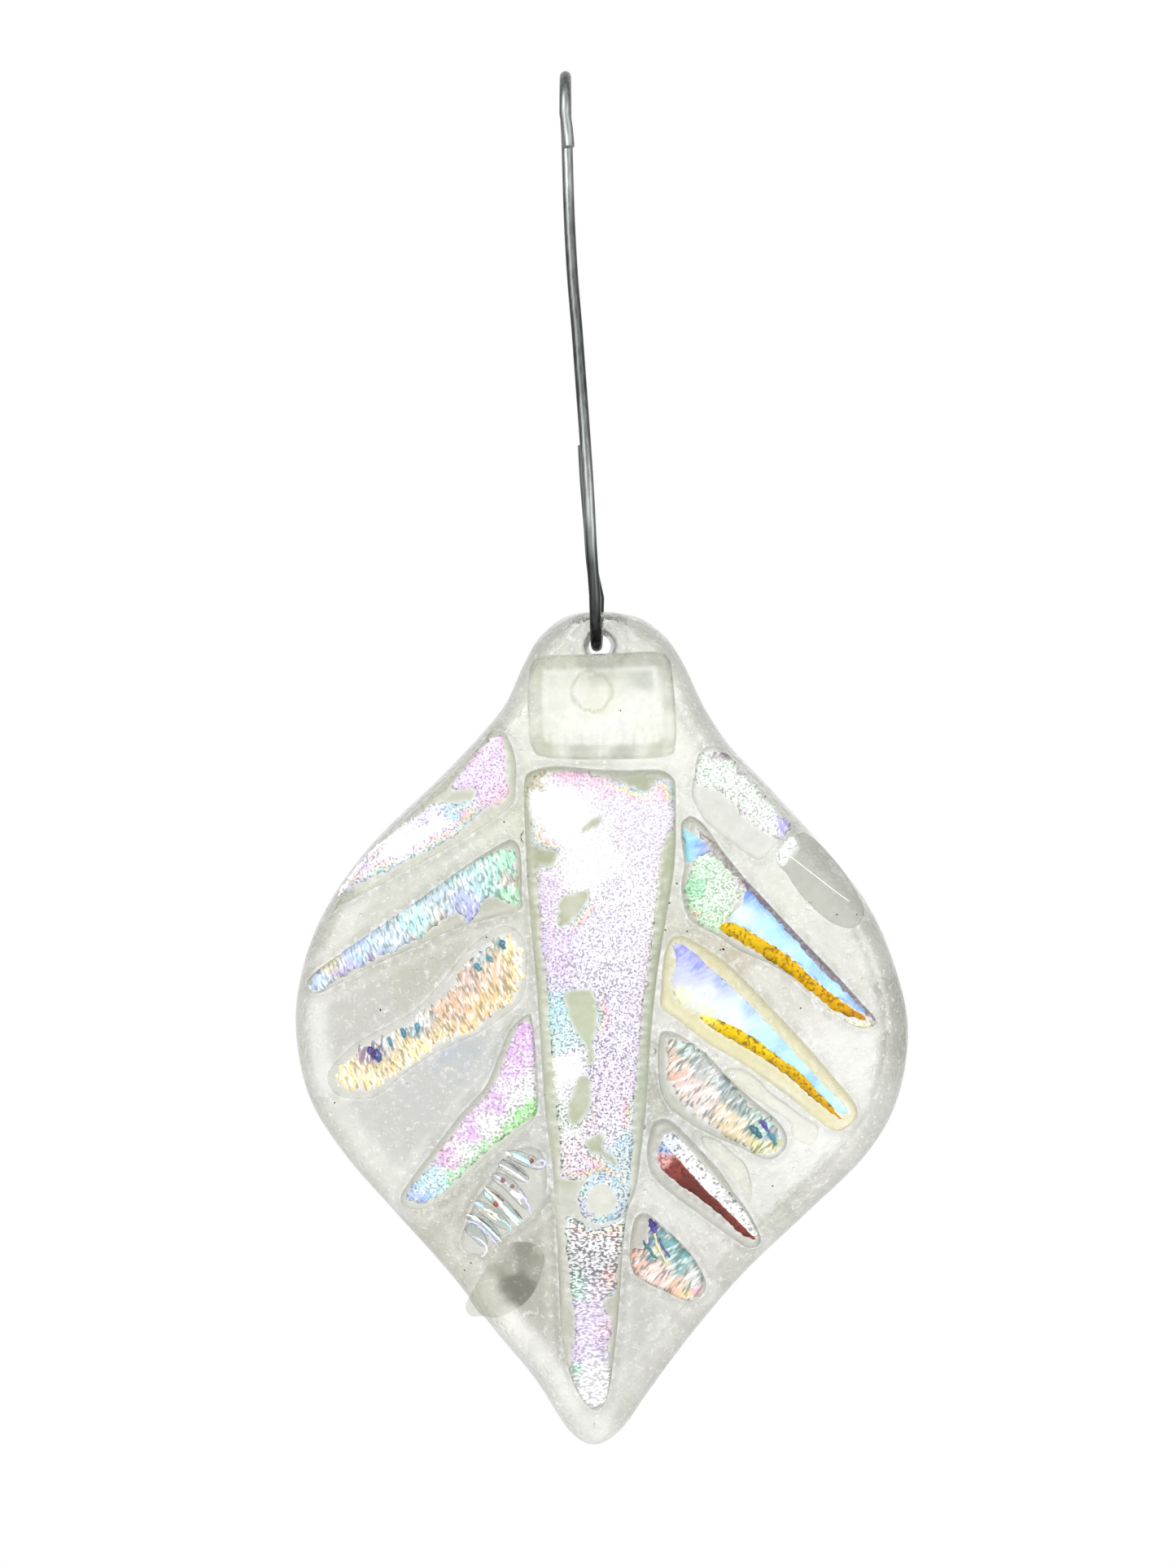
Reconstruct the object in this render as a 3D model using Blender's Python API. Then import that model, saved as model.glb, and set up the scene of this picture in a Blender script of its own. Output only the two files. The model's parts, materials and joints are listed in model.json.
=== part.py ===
"""Fused-glass leaf ornament hanging on a bent wire hook.

A thick clear leaf-shaped plate carries a clear tile over its neck, a long icicle-shaped spike
down its middle and two rows of glass shards, all fused to its front. A hole through the neck
hangs on the lower bend of an S-shaped wire hook, whose upper crook goes over a twig.

Frame: +Z up, -Y towards the viewer. The origin is where a twig bears, at the inner top of the
crook. Lengths below are in millimetres; Blender's own units are metres.
"""

import math

import bmesh
import bpy
from mathutils import Vector

MM = 0.001

# Driving dimensions.
PLATE_THICKNESS = 6.0
HOLE_RADIUS = 1.45
WIRE_DIAMETER = 1.1
CROOK_RADIUS = 4.0  # centre line of the upper bend
LOWER_BEND_RADIUS = 4.8  # centre line of the bend that passes through the hole
HOLE_TO_CROOK_TOP = 55.05  # height of the crook's centre line over the hole's centre
CROOK_OFFSET = -3.32  # the hook leans, so its crook sits left of the hole
TOUCHING_GAP = 0.3  # between pieces that rest on each other

# The plate's rounded rim: kiln glass is round at the front and flatter against the shelf.
FRONT_RIM_WIDTH = 2.3
BACK_RIM_WIDTH = 1.0
BACK_RIM_HEIGHT = 1.2
RIM_STEPS = 5
HOLE_FILLET = 1.2
HOLE_SIDES = 24

SHARD_THICKNESS = 1.9
SHARD_EDGE_RADIUS = 0.8
SHARD_EDGE_STEPS = 2
SPIKE_THICKNESS = 2.3
TILE_THICKNESS = 2.2
NUGGET_THICKNESS = 2.0
POINTS_PER_SPAN = 3  # round the plate
SHARD_POINTS_PER_SPAN = 2
TILE_CORNER_RADIUS = 2.2
TILE_CORNER_STEPS = 5

WIRE_SIDES_RESOLUTION = 3
BEND_STEPS = 14
STEM_POINTS_PER_SPAN = 4

GLASS_CLEAR = (0.86, 0.88, 0.84)

# The plate's outline, clockwise from its top, in (x, z) from the hole's centre.
PLATE_OUTLINE = [
    (0.0, 3.35), (3.7, 2.85), (6.5, 0.8), (8.3, -2.0), (10.1, -5.8), (12.6, -9.6),
    (16.2, -13.4), (21.4, -19.1), (25.8, -24.7), (28.5, -30.6), (29.9, -37.0),
    (28.9, -43.8), (25.8, -49.3), (20.0, -55.0), (14.1, -60.6), (9.2, -66.3),
    (4.9, -72.0), (2.2, -75.8), (-0.4, -77.4), (-3.0, -76.0), (-6.3, -71.0),
    (-10.2, -66.3), (-14.7, -60.6), (-19.7, -55.0), (-24.7, -49.3), (-28.2, -43.6),
    (-29.5, -36.7), (-28.6, -30.4), (-26.1, -24.6), (-21.8, -18.8), (-16.2, -13.4),
    (-12.5, -9.6), (-9.3, -5.8), (-7.5, -2.0), (-5.9, 0.8), (-3.3, 2.9),
]

# The tile's corners: its top edge climbs a little to the right.
TILE_CORNERS = [(-6.7, -1.0), (6.8, -0.65), (7.2, -11.0), (-6.6, -11.0)]

SPIKE_OUTLINE = [
    (-7.3, -13.4), (-6.6, -12.1), (-4.1, -11.6), (-0.6, -11.9), (2.9, -12.0), (5.7, -11.95),
    (7.0, -12.7), (7.3, -14.1), (7.25, -20.6), (6.4, -26.2), (5.5, -32.0), (4.9, -38.0),
    (4.5, -44.0), (3.6, -51.7), (2.7, -54.4), (2.2, -58.7), (1.85, -63.9), (1.3, -69.0),
    (0.7, -72.4), (-0.4, -73.6), (-1.8, -72.4), (-2.9, -70.1), (-3.7, -66.6), (-4.0, -60.0),
    (-4.6, -50.2), (-5.3, -44.6), (-6.1, -33.0), (-6.9, -24.0), (-7.2, -18.0),
]

# Each shard: name, colour, then its outline clockwise in (x, z) from the hole's centre.
SHARDS = {
    "left_shard_lilac": ((0.87, 0.80, 0.92), [
        (-10.3, -8.0), (-9.0, -8.6), (-8.1, -11.0), (-8.1, -14.0), (-8.7, -15.6), (-13.2, -18.7),
        (-19.2, -22.0), (-25.0, -25.2), (-26.0, -26.0), (-24.7, -23.8), (-22.3, -20.5),
        (-18.0, -16.0), (-14.2, -12.3), (-11.4, -9.4),
    ]),
    "left_shard_teal": ((0.62, 0.80, 0.83), [
        (-8.2, -18.8), (-7.6, -20.1), (-7.5, -24.3), (-8.0, -25.6), (-13.2, -27.0),
        (-18.2, -29.2), (-23.2, -31.5), (-27.0, -33.5), (-28.1, -32.9), (-27.6, -31.6),
        (-23.2, -28.4), (-18.2, -25.0), (-13.2, -21.4), (-9.4, -19.0),
    ]),
    "left_shard_gold": ((0.93, 0.78, 0.55), [
        (-9.5, -27.0), (-7.9, -27.4), (-7.1, -29.0), (-7.0, -31.5), (-7.6, -34.2),
        (-10.0, -36.2), (-12.2, -37.6), (-15.8, -39.2), (-19.0, -41.4), (-21.8, -43.5),
        (-25.2, -43.3), (-26.2, -41.4), (-24.8, -39.4), (-22.6, -37.7), (-17.6, -34.9),
        (-13.7, -30.4), (-11.8, -28.4),
    ]),
    "left_shard_green": ((0.80, 0.86, 0.80), [
        (-6.9, -35.4), (-6.5, -36.0), (-6.25, -38.0), (-5.95, -44.4), (-7.6, -46.9),
        (-10.4, -49.2), (-13.2, -51.8), (-16.0, -53.9), (-18.3, -54.2), (-19.2, -53.2),
        (-18.2, -51.4), (-16.2, -48.7), (-13.4, -45.1), (-11.0, -42.4), (-9.8, -39.6),
        (-8.6, -36.9),
    ]),
    "left_shard_ribbed": ((0.75, 0.80, 0.86), [
        (-8.8, -49.0), (-7.4, -48.2), (-6.0, -48.4), (-5.2, -49.8), (-5.2, -52.8), (-6.4, -54.7),
        (-7.5, -55.8), (-9.3, -56.8), (-11.0, -58.4), (-12.6, -58.5), (-13.4, -57.3),
        (-12.7, -55.2), (-11.8, -53.1), (-10.4, -51.3), (-9.7, -49.9),
    ]),
    "right_shard_frost": ((0.88, 0.93, 0.88), [
        (9.1, -12.4), (9.4, -10.7), (10.2, -9.8), (11.4, -9.6), (12.3, -10.4), (15.2, -13.4),
        (18.0, -16.6), (18.4, -17.7), (16.9, -19.2), (15.6, -20.6), (14.4, -20.3), (12.4, -18.8),
        (10.2, -17.0), (9.3, -15.5), (8.8, -14.2),
    ]),
    "right_shard_clear": (GLASS_CLEAR, [
        (18.5, -18.7), (19.5, -18.0), (21.0, -19.0), (23.3, -21.6), (25.2, -24.8), (25.3, -26.2),
        (24.4, -27.2), (22.7, -26.9), (21.1, -25.8), (19.3, -24.0), (17.9, -21.9), (16.9, -20.6),
    ]),
    "right_shard_sky": ((0.55, 0.78, 0.90), [
        (7.8, -17.1), (8.3, -16.6), (8.8, -16.4), (10.0, -17.2), (11.8, -19.7), (13.8, -22.2),
        (16.4, -25.0), (19.4, -28.2), (22.5, -31.4), (25.1, -34.3), (26.5, -35.9), (26.3, -36.7),
        (24.9, -36.8), (23.1, -35.9), (20.7, -34.1), (18.4, -32.0), (16.2, -30.6), (13.4, -29.4),
        (11.2, -27.9), (9.2, -26.9), (8.2, -25.6), (7.8, -23.2), (8.1, -21.2), (7.8, -18.8),
    ]),
    "right_shard_yellow": ((0.78, 0.84, 0.90), [
        (6.6, -28.5), (7.4, -27.9), (8.7, -28.2), (12.2, -30.5), (15.7, -34.0), (19.2, -37.7),
        (22.7, -41.7), (24.5, -44.0), (24.7, -45.4), (23.2, -46.7), (21.6, -46.2), (18.1, -43.4),
        (13.9, -40.4), (10.4, -38.3), (7.4, -36.0), (5.9, -34.9), (5.8, -33.5), (6.1, -30.2),
    ]),
    "right_shard_rose": ((0.90, 0.78, 0.72), [
        (5.9, -37.2), (7.4, -37.3), (9.2, -38.5), (10.6, -39.6), (11.8, -41.0), (13.2, -42.4),
        (15.3, -44.2), (16.9, -45.5), (17.9, -46.9), (17.9, -48.3), (16.7, -49.4), (15.2, -49.2),
        (13.7, -48.4), (12.0, -47.7), (9.5, -46.5), (6.9, -44.7), (6.0, -43.3), (5.6, -41.4),
        (5.6, -38.8),
    ]),
    "right_shard_copper": ((0.75, 0.60, 0.55), [
        (4.7, -47.2), (5.2, -45.9), (6.3, -45.5), (7.5, -46.2), (9.4, -48.2), (11.6, -50.6),
        (12.9, -52.6), (14.2, -54.3), (15.5, -57.1), (14.6, -58.0), (13.1, -57.3), (9.9, -55.0),
        (7.2, -53.0), (5.1, -51.1), (4.5, -49.2),
    ]),
    "right_shard_oval": ((0.80, 0.83, 0.82), [
        (3.2, -55.6), (3.6, -54.8), (4.5, -54.6), (5.9, -55.7), (7.9, -57.5), (9.4, -59.4),
        (10.2, -61.3), (9.9, -62.4), (8.7, -63.2), (7.2, -62.6), (4.8, -61.5), (3.4, -60.6),
        (2.9, -59.4), (2.9, -57.3),
    ]),
}

# A blob of clear frit near the lower left rim, which bulges a little past it.
NUGGET_OUTLINE = [
    (-9.7, -58.1), (-8.2, -57.4), (-6.3, -57.6), (-5.3, -58.8), (-5.6, -60.3), (-6.2, -61.9),
    (-7.4, -63.4), (-9.7, -64.6), (-11.5, -64.5), (-12.4, -64.5), (-12.9, -63.5), (-11.8, -61.3),
    (-10.6, -59.3),
]

# The stem, from the crook's back end down to the lower bend's front end: it crosses from
# behind the leaf's plane to before it, so that the hook is an S seen from the side.
STEM_ROUTE = [
    (-3.20, 3.9, 49.6), (-3.10, 3.2, 46.0), (-2.95, 2.2, 41.5), (-2.65, 0.8, 36.0),
    (-2.20, -0.7, 30.5), (-1.80, -2.1, 25.0), (-1.40, -3.3, 19.5), (-1.05, -4.2, 14.0),
    (-0.80, -4.7, 9.0),
]
CROOK_TIP = [(-2.98, -4.45, 47.75), (-3.12, -4.15, 49.4)]
RETURN_LEG = [(-0.75, 4.9, 8.0), (-1.05, 5.2, 12.0), (-1.40, 5.8, 16.2), (-1.60, 6.6, 19.8)]
BEND_X = (-0.50, -0.10)  # the lower bend enters the hole's front left of its back
CROOK_X = (-3.35, -3.29)


def clear_scene():
    for old in list(bpy.data.objects):
        bpy.data.objects.remove(old, do_unlink=True)


def material(name, colour, roughness, metallic=0.0, transmission=0.0):
    made = bpy.data.materials.new(name)
    made.use_nodes = True
    shader = made.node_tree.nodes["Principled BSDF"]
    shader.inputs["Base Color"].default_value = (*colour, 1.0)
    shader.inputs["Roughness"].default_value = roughness
    shader.inputs["Metallic"].default_value = metallic
    shader.inputs["Transmission Weight"].default_value = transmission
    return made


def add_object(name, mesh, finish, parent=None):
    made = bpy.data.objects.new(name, mesh)
    made.data.materials.append(finish)
    made.parent = parent
    bpy.context.scene.collection.objects.link(made)
    return made


def through(points, steps, closed):
    """A Catmull-Rom curve through the points, with this many steps from each to the next."""
    known = [Vector(p) for p in points]
    count = len(known)
    spans = count if closed else count - 1
    curve = []
    for i in range(spans):
        if closed:
            p0, p1, p2, p3 = (known[(i + k) % count] for k in (-1, 0, 1, 2))
        else:
            p0, p1, p2, p3 = (known[min(max(i + k, 0), count - 1)] for k in (-1, 0, 1, 2))
        for s in range(steps):
            t = s / steps
            curve.append(0.5 * (
                2 * p1 + (p2 - p0) * t
                + (2 * p0 - 5 * p1 + 4 * p2 - p3) * t * t
                + (3 * p1 - p0 - 3 * p2 + p3) * t ** 3
            ))
    if not closed:
        curve.append(known[-1])
    return curve


def rounded_corners(corners, radius, steps):
    """The corners of a clockwise polygon replaced by short curves that start at radius from them."""
    outline = []
    for i, here in enumerate(corners):
        corner = Vector(here)
        start = corner + (Vector(corners[i - 1]) - corner).normalized() * radius
        end = corner + (Vector(corners[(i + 1) % len(corners)]) - corner).normalized() * radius
        for s in range(steps + 1):
            t = s / steps
            outline.append(start * (1 - t) ** 2 + corner * 2 * t * (1 - t) + end * t * t)
    return outline


def inward_normals(outline):
    """Unit normals that point into a clockwise (x, z) outline."""
    normals = []
    for i in range(len(outline)):
        along = outline[(i + 1) % len(outline)] - outline[i - 1]
        normals.append(Vector((along[1], -along[0])).normalized())
    return normals


def rim_levels():
    """(inset, y) of each ring round the plate, from its back face to its front face."""
    half = PLATE_THICKNESS / 2
    quarter = [math.radians(90 * s / RIM_STEPS) for s in range(RIM_STEPS + 1)]
    back_start = half - BACK_RIM_HEIGHT
    back = [
        (BACK_RIM_WIDTH * (1 - math.sin(a)), back_start + BACK_RIM_HEIGHT * math.cos(a))
        for a in quarter
    ]
    front = [
        (FRONT_RIM_WIDTH * (1 - math.cos(a)), back_start - (back_start + half) * math.sin(a))
        for a in quarter[1:]
    ]
    return back + front


def ring_solid(name, rings):
    """A mesh closed over rings of equal length, the first one at the back."""
    shape = bmesh.new()
    made = [[shape.verts.new(Vector(p) * MM) for p in ring] for ring in rings]
    for low, high in zip(made, made[1:]):
        for i in range(len(low)):
            shape.faces.new((low[i - 1], low[i], high[i], high[i - 1]))
    shape.faces.new(made[0])
    shape.faces.new(made[-1])
    bmesh.ops.recalc_face_normals(shape, faces=shape.faces)
    mesh = bpy.data.meshes.new(name)
    shape.to_mesh(mesh)
    shape.free()
    return mesh


def smooth(mesh, angle=35):
    mesh.shade_smooth()
    mesh.set_sharp_from_angle(angle=math.radians(angle))


def hole_cutter(parent):
    """A turned spool along Y whose ends flare, so that it leaves the hole's edges round."""
    half = PLATE_THICKNESS / 2
    overshoot = 0.8
    fillet = [math.radians(a) for a in (0, 25, 50, 70, 90)]
    flare = [
        (half - HOLE_FILLET * (1 - math.sin(a)), HOLE_RADIUS + HOLE_FILLET * (1 - math.cos(a)))
        for a in fillet
    ]
    flare.append((half + overshoot, flare[-1][1] + overshoot))
    profile = [(-y, r) for y, r in reversed(flare)] + flare
    turns = [2 * math.pi * s / HOLE_SIDES for s in range(HOLE_SIDES)]
    rings = [[(r * math.cos(a), y, r * math.sin(a)) for a in turns] for y, r in reversed(profile)]
    cutter = bpy.data.objects.new("hole_cutter", ring_solid("hole_cutter", rings))
    cutter.parent = parent
    cutter.hide_render = True
    cutter.display_type = "WIRE"
    bpy.context.scene.collection.objects.link(cutter)
    return cutter


def add_plate(parent, finish):
    outline = through(PLATE_OUTLINE, POINTS_PER_SPAN, closed=True)
    normals = inward_normals(outline)
    rings = [
        [(p.x + n.x * inset, y, p.y + n.y * inset) for p, n in zip(outline, normals)]
        for inset, y in rim_levels()
    ]
    mesh = ring_solid("glass_leaf", rings)
    plate = add_object("glass_leaf", mesh, finish, parent)
    cut = plate.modifiers.new("hole", "BOOLEAN")
    cut.operation = "DIFFERENCE"
    cut.solver = "EXACT"
    cut.object = hole_cutter(parent)
    smooth(mesh)


def add_slab(name, outline, thickness, parent, finish):
    """A shard lying on the plate's front face, with its upper edges rounded over."""
    back = -(PLATE_THICKNESS / 2 + TOUCHING_GAP)
    shape = bmesh.new()
    corners = [shape.verts.new(Vector((p.x, back, p.y)) * MM) for p in outline]
    base = shape.faces.new(corners)
    raised = bmesh.ops.extrude_face_region(shape, geom=[base])["geom"]
    top = [v for v in raised if isinstance(v, bmesh.types.BMVert)]
    bmesh.ops.translate(shape, verts=top, vec=Vector((0, -thickness, 0)) * MM)
    bmesh.ops.recalc_face_normals(shape, faces=shape.faces)
    top_face = next(f for f in raised if isinstance(f, bmesh.types.BMFace))
    bmesh.ops.bevel(
        shape,
        geom=list(top_face.edges),
        offset=SHARD_EDGE_RADIUS * MM,
        segments=SHARD_EDGE_STEPS,
        profile=0.5,
        affect="EDGES",
        clamp_overlap=True,
    )
    bmesh.ops.recalc_face_normals(shape, faces=shape.faces)
    mesh = bpy.data.meshes.new(name)
    shape.to_mesh(mesh)
    shape.free()
    smooth(mesh, 50)
    return add_object(name, mesh, finish, parent)


def half_turn(centre, radius, x_ends, from_degrees, to_degrees):
    """Points round a bend in the YZ plane, its x going evenly from one end's to the other's."""
    points = []
    for s in range(BEND_STEPS + 1):
        t = s / BEND_STEPS
        a = math.radians(from_degrees + (to_degrees - from_degrees) * t)
        x = x_ends[0] + (x_ends[1] - x_ends[0]) * t
        points.append((x, centre[0] + radius * math.cos(a), centre[1] + radius * math.sin(a)))
    return points


def hook_route():
    """The wire's centre line from the crook's tip to the end of the return leg."""
    crook_centre = (0.0, HOLE_TO_CROOK_TOP - CROOK_RADIUS)
    crook = half_turn(crook_centre, CROOK_RADIUS, CROOK_X, 180, 0)
    lower_bend = half_turn((0.0, LOWER_BEND_RADIUS), LOWER_BEND_RADIUS, BEND_X, 180, 360)
    tip = through(CROOK_TIP + crook[:1], 2, closed=False)
    stem = through(crook[-1:] + STEM_ROUTE + lower_bend[:1], STEM_POINTS_PER_SPAN, closed=False)
    leg = through(lower_bend[-1:] + RETURN_LEG, STEM_POINTS_PER_SPAN, closed=False)
    bends = [Vector(p) for p in crook[1:-1]], [Vector(p) for p in lower_bend[1:-1]]
    return tip + bends[0] + stem + bends[1] + leg


def add_hook(parent, finish):
    """The S hook: a round wire, cut square at both ends."""
    curve = bpy.data.curves.new("wire_hook", "CURVE")
    curve.dimensions = "3D"
    curve.bevel_depth = WIRE_DIAMETER / 2 * MM
    curve.bevel_resolution = WIRE_SIDES_RESOLUTION
    curve.use_fill_caps = True
    route = hook_route()
    spline = curve.splines.new("POLY")
    spline.points.add(len(route) - 1)
    for point, place in zip(spline.points, route):
        point.co = (*(place * MM), 1.0)
    spline.use_smooth = True
    return add_object("wire_hook", curve, finish, parent)


def main():
    clear_scene()
    hole_centre = bpy.data.objects.new("hole_centre", None)
    crook_inner_top = HOLE_TO_CROOK_TOP - WIRE_DIAMETER / 2
    hole_centre.location = Vector((-CROOK_OFFSET, 0.0, -crook_inner_top)) * MM
    bpy.context.scene.collection.objects.link(hole_centre)

    clear_glass = material("clear_glass", GLASS_CLEAR, 0.05, transmission=0.9)
    steel = material("wire_steel", (0.42, 0.44, 0.42), 0.35, metallic=1.0)
    film = material("spike_film", (0.90, 0.86, 0.95), 0.3, metallic=0.6)

    add_plate(hole_centre, clear_glass)
    tile = rounded_corners(TILE_CORNERS, TILE_CORNER_RADIUS, TILE_CORNER_STEPS)
    add_slab("neck_tile", tile, TILE_THICKNESS, hole_centre, clear_glass)
    spike = through(SPIKE_OUTLINE, SHARD_POINTS_PER_SPAN, closed=True)
    add_slab("centre_spike", spike, SPIKE_THICKNESS, hole_centre, film)
    for name, (colour, points) in SHARDS.items():
        outline = through(points, SHARD_POINTS_PER_SPAN, closed=True)
        finish = material(name, colour, 0.2, metallic=0.3)
        add_slab(name, outline, SHARD_THICKNESS, hole_centre, finish)
    nugget = through(NUGGET_OUTLINE, SHARD_POINTS_PER_SPAN, closed=True)
    add_slab("clear_nugget", nugget, NUGGET_THICKNESS, hole_centre, clear_glass)
    add_hook(hole_centre, steel)


main()
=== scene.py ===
"""Looks of the fused-glass leaf ornament: clear glass, iridescent films, a steel hook and a studio.

Lengths are in millimetres, in (x, z) from the centre of the drilled hole unless a name says
otherwise; place() turns them into the row frame's metres. Front is -Y.
"""

import json
import math
import random

import bmesh
import bpy
import numpy as np
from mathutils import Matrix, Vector, noise
from mathutils.geometry import delaunay_2d_cdt


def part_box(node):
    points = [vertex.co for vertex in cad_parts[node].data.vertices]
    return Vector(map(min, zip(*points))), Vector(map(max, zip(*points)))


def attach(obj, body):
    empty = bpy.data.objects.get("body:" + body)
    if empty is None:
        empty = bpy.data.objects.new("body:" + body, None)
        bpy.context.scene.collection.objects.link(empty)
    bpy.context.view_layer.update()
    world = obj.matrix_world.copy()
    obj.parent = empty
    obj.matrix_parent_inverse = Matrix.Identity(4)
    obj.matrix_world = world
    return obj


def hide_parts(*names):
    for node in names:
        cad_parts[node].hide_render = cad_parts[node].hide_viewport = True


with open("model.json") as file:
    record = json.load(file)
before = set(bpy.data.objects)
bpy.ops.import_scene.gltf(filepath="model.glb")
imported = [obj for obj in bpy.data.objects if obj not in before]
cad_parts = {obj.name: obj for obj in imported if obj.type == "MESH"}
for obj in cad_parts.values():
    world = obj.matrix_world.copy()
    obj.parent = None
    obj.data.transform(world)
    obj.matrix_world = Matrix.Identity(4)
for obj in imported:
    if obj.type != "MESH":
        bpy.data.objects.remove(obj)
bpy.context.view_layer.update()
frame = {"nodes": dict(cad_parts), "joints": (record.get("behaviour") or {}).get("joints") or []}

MM = 0.001
HOLE = Vector(frame["joints"][0]["pos_m"])
PLATE_LOW, PLATE_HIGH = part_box("glass_leaf")
FRONT = PLATE_LOW.y / MM  # the plate's front and back faces
BACK = PLATE_HIGH.y / MM

# ---------------------------------------------------------------- outlines

PLATE_OUTLINE = [
    (0.0, 3.35), (3.7, 2.85), (6.5, 0.8), (8.3, -2.0), (10.1, -5.8), (12.6, -9.6),
    (16.2, -13.4), (21.4, -19.1), (25.8, -24.7), (28.5, -30.6), (29.9, -37.0),
    (28.9, -43.8), (25.8, -49.3), (20.0, -55.0), (14.1, -60.6), (9.2, -66.3),
    (4.9, -72.0), (2.2, -75.8), (-0.4, -77.4), (-3.0, -76.0), (-6.3, -71.0),
    (-10.2, -66.3), (-14.7, -60.6), (-19.7, -55.0), (-24.7, -49.3), (-28.2, -43.6),
    (-29.5, -36.7), (-28.6, -30.4), (-26.1, -24.6), (-21.8, -18.8), (-16.2, -13.4),
    (-12.5, -9.6), (-9.3, -5.8), (-7.5, -2.0), (-5.9, 0.8), (-3.3, 2.9),
]
HOLE_RADIUS = 1.45
HOLE_FILLET = 0.9
MOUTH_RADIUS = HOLE_RADIUS + HOLE_FILLET

# The hook's wire, as in the CAD model: x, y, z from the hole's centre.
WIRE_RADIUS = 0.55
CROOK_RADIUS = 4.0
LOWER_BEND_RADIUS = 4.8
CROOK_CENTRE_HEIGHT = 51.05
CROOK_X = (-3.35, -3.29)
BEND_X = (-0.50, -0.10)
STEM_ROUTE = [
    (-3.20, 3.9, 49.6), (-3.10, 3.2, 46.0), (-2.95, 2.2, 41.5), (-2.65, 0.8, 36.0),
    (-2.20, -0.7, 30.5), (-1.80, -2.1, 25.0), (-1.40, -3.3, 19.5), (-1.05, -4.2, 14.0),
    (-0.80, -4.7, 9.0),
]
CROOK_TIP = [(-2.98, -4.45, 47.75), (-3.12, -4.15, 49.4)]
RETURN_LEG = [(-0.75, 4.9, 8.0), (-1.05, 5.2, 12.0), (-1.40, 5.8, 16.2), (-1.60, 6.6, 19.8)]


# ---------------------------------------------------------------- plane geometry

def place(x, y, z):
    """A point given in millimetres from the hole's centre, in the row frame's metres."""
    return HOLE + Vector((x, y, z)) * MM


def srgb(code):
    """A six-digit colour code as linear red, green and blue."""
    values = [int(code[i:i + 2], 16) / 255 for i in (0, 2, 4)]
    return tuple(v / 12.92 if v <= 0.04045 else ((v + 0.055) / 1.055) ** 2.4 for v in values)


def catmull(p0, p1, p2, p3, t):
    """A point on the smooth curve from p1 to p2, whose neighbours are p0 and p3."""
    return 0.5 * (
        2 * p1 + (p2 - p0) * t
        + (2 * p0 - 5 * p1 + 4 * p2 - p3) * t * t
        + (3 * p1 - p0 - 3 * p2 + p3) * t ** 3
    )


def cad_outline(name):
    """The outline of a CAD piece's flat back, in (x, z) from the hole's centre."""
    mesh = frame["nodes"][name].data
    faces = [[mesh.vertices[i].co for i in face.vertices] for face in mesh.polygons]
    back = max(p.y for face in faces for p in face)
    edges = set()
    for face in faces:
        if min(p.y for p in face) > back - 1e-6:
            loop = [(round((p.x - HOLE.x) / MM, 3), round((p.z - HOLE.z) / MM, 3)) for p in face]
            edges |= set(zip(loop, loop[1:] + loop[:1]))
    follow = {a: b for a, b in edges if (b, a) not in edges}
    outline = [min(follow)]
    while follow[outline[-1]] != outline[0]:
        outline.append(follow[outline[-1]])
    return outline


def smooth_loop(points, step):
    """A closed smooth curve through the points, with a vertex about every step."""
    known = np.array(points, float)
    loop = []
    for i in range(len(known)):
        p0, p1, p2, p3 = (known[(i + k) % len(known)] for k in (-1, 0, 1, 2))
        count = max(1, round(float(np.linalg.norm(p2 - p1)) / step))
        loop += [catmull(p0, p1, p2, p3, s / count) for s in range(count)]
    return np.array(loop)


def smooth_line(points, steps):
    """An open smooth curve through the points, with this many steps from each to the next."""
    known = [Vector(p) for p in points]
    last = len(known) - 1
    line = []
    for i in range(last):
        p0, p1, p2, p3 = (known[min(max(i + k, 0), last)] for k in (-1, 0, 1, 2))
        line += [catmull(p0, p1, p2, p3, s / steps) for s in range(steps)]
    return line + [known[-1]]


def circle(x, z, radius, sides):
    """Points round a circle."""
    turns = [2 * math.pi * s / sides for s in range(sides)]
    return np.array([(x + radius * math.cos(a), z + radius * math.sin(a)) for a in turns])


def inward(loop):
    """Unit normals of a loop that point to its inside, whichever way it runs."""
    along = np.roll(loop, -1, 0) - np.roll(loop, 1, 0)
    normals = np.stack([along[:, 1], -along[:, 0]], 1)
    normals /= np.linalg.norm(normals, axis=1)[:, None] + 1e-12
    area = np.sum(loop[:, 0] * np.roll(loop[:, 1], -1) - loop[:, 1] * np.roll(loop[:, 0], -1))
    return normals if area < 0 else -normals


def ragged(loop, amount, size):
    """The loop with its points pushed in and out by noise of that amount and grain size."""
    normals = inward(loop)
    push = [noise.noise(Vector((p[0] / size, 3.7, p[1] / size))) for p in loop]
    return loop + normals * (np.array(push) * amount)[:, None]


def inside(points, loops):
    """True for each point inside an odd number of loops."""
    hits = np.zeros(len(points), int)
    x, z = points[:, 0][:, None], points[:, 1][:, None]
    for loop in loops:
        a, b = loop, np.roll(loop, -1, 0)
        crosses = (a[:, 1] > z) != (b[:, 1] > z)
        rise = b[:, 1] - a[:, 1]
        at = a[:, 0] + (z - a[:, 1]) / np.where(rise == 0, 1e-9, rise) * (b[:, 0] - a[:, 0])
        hits += np.sum(crosses & (x < at), axis=1)
    return hits % 2 == 1


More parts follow.
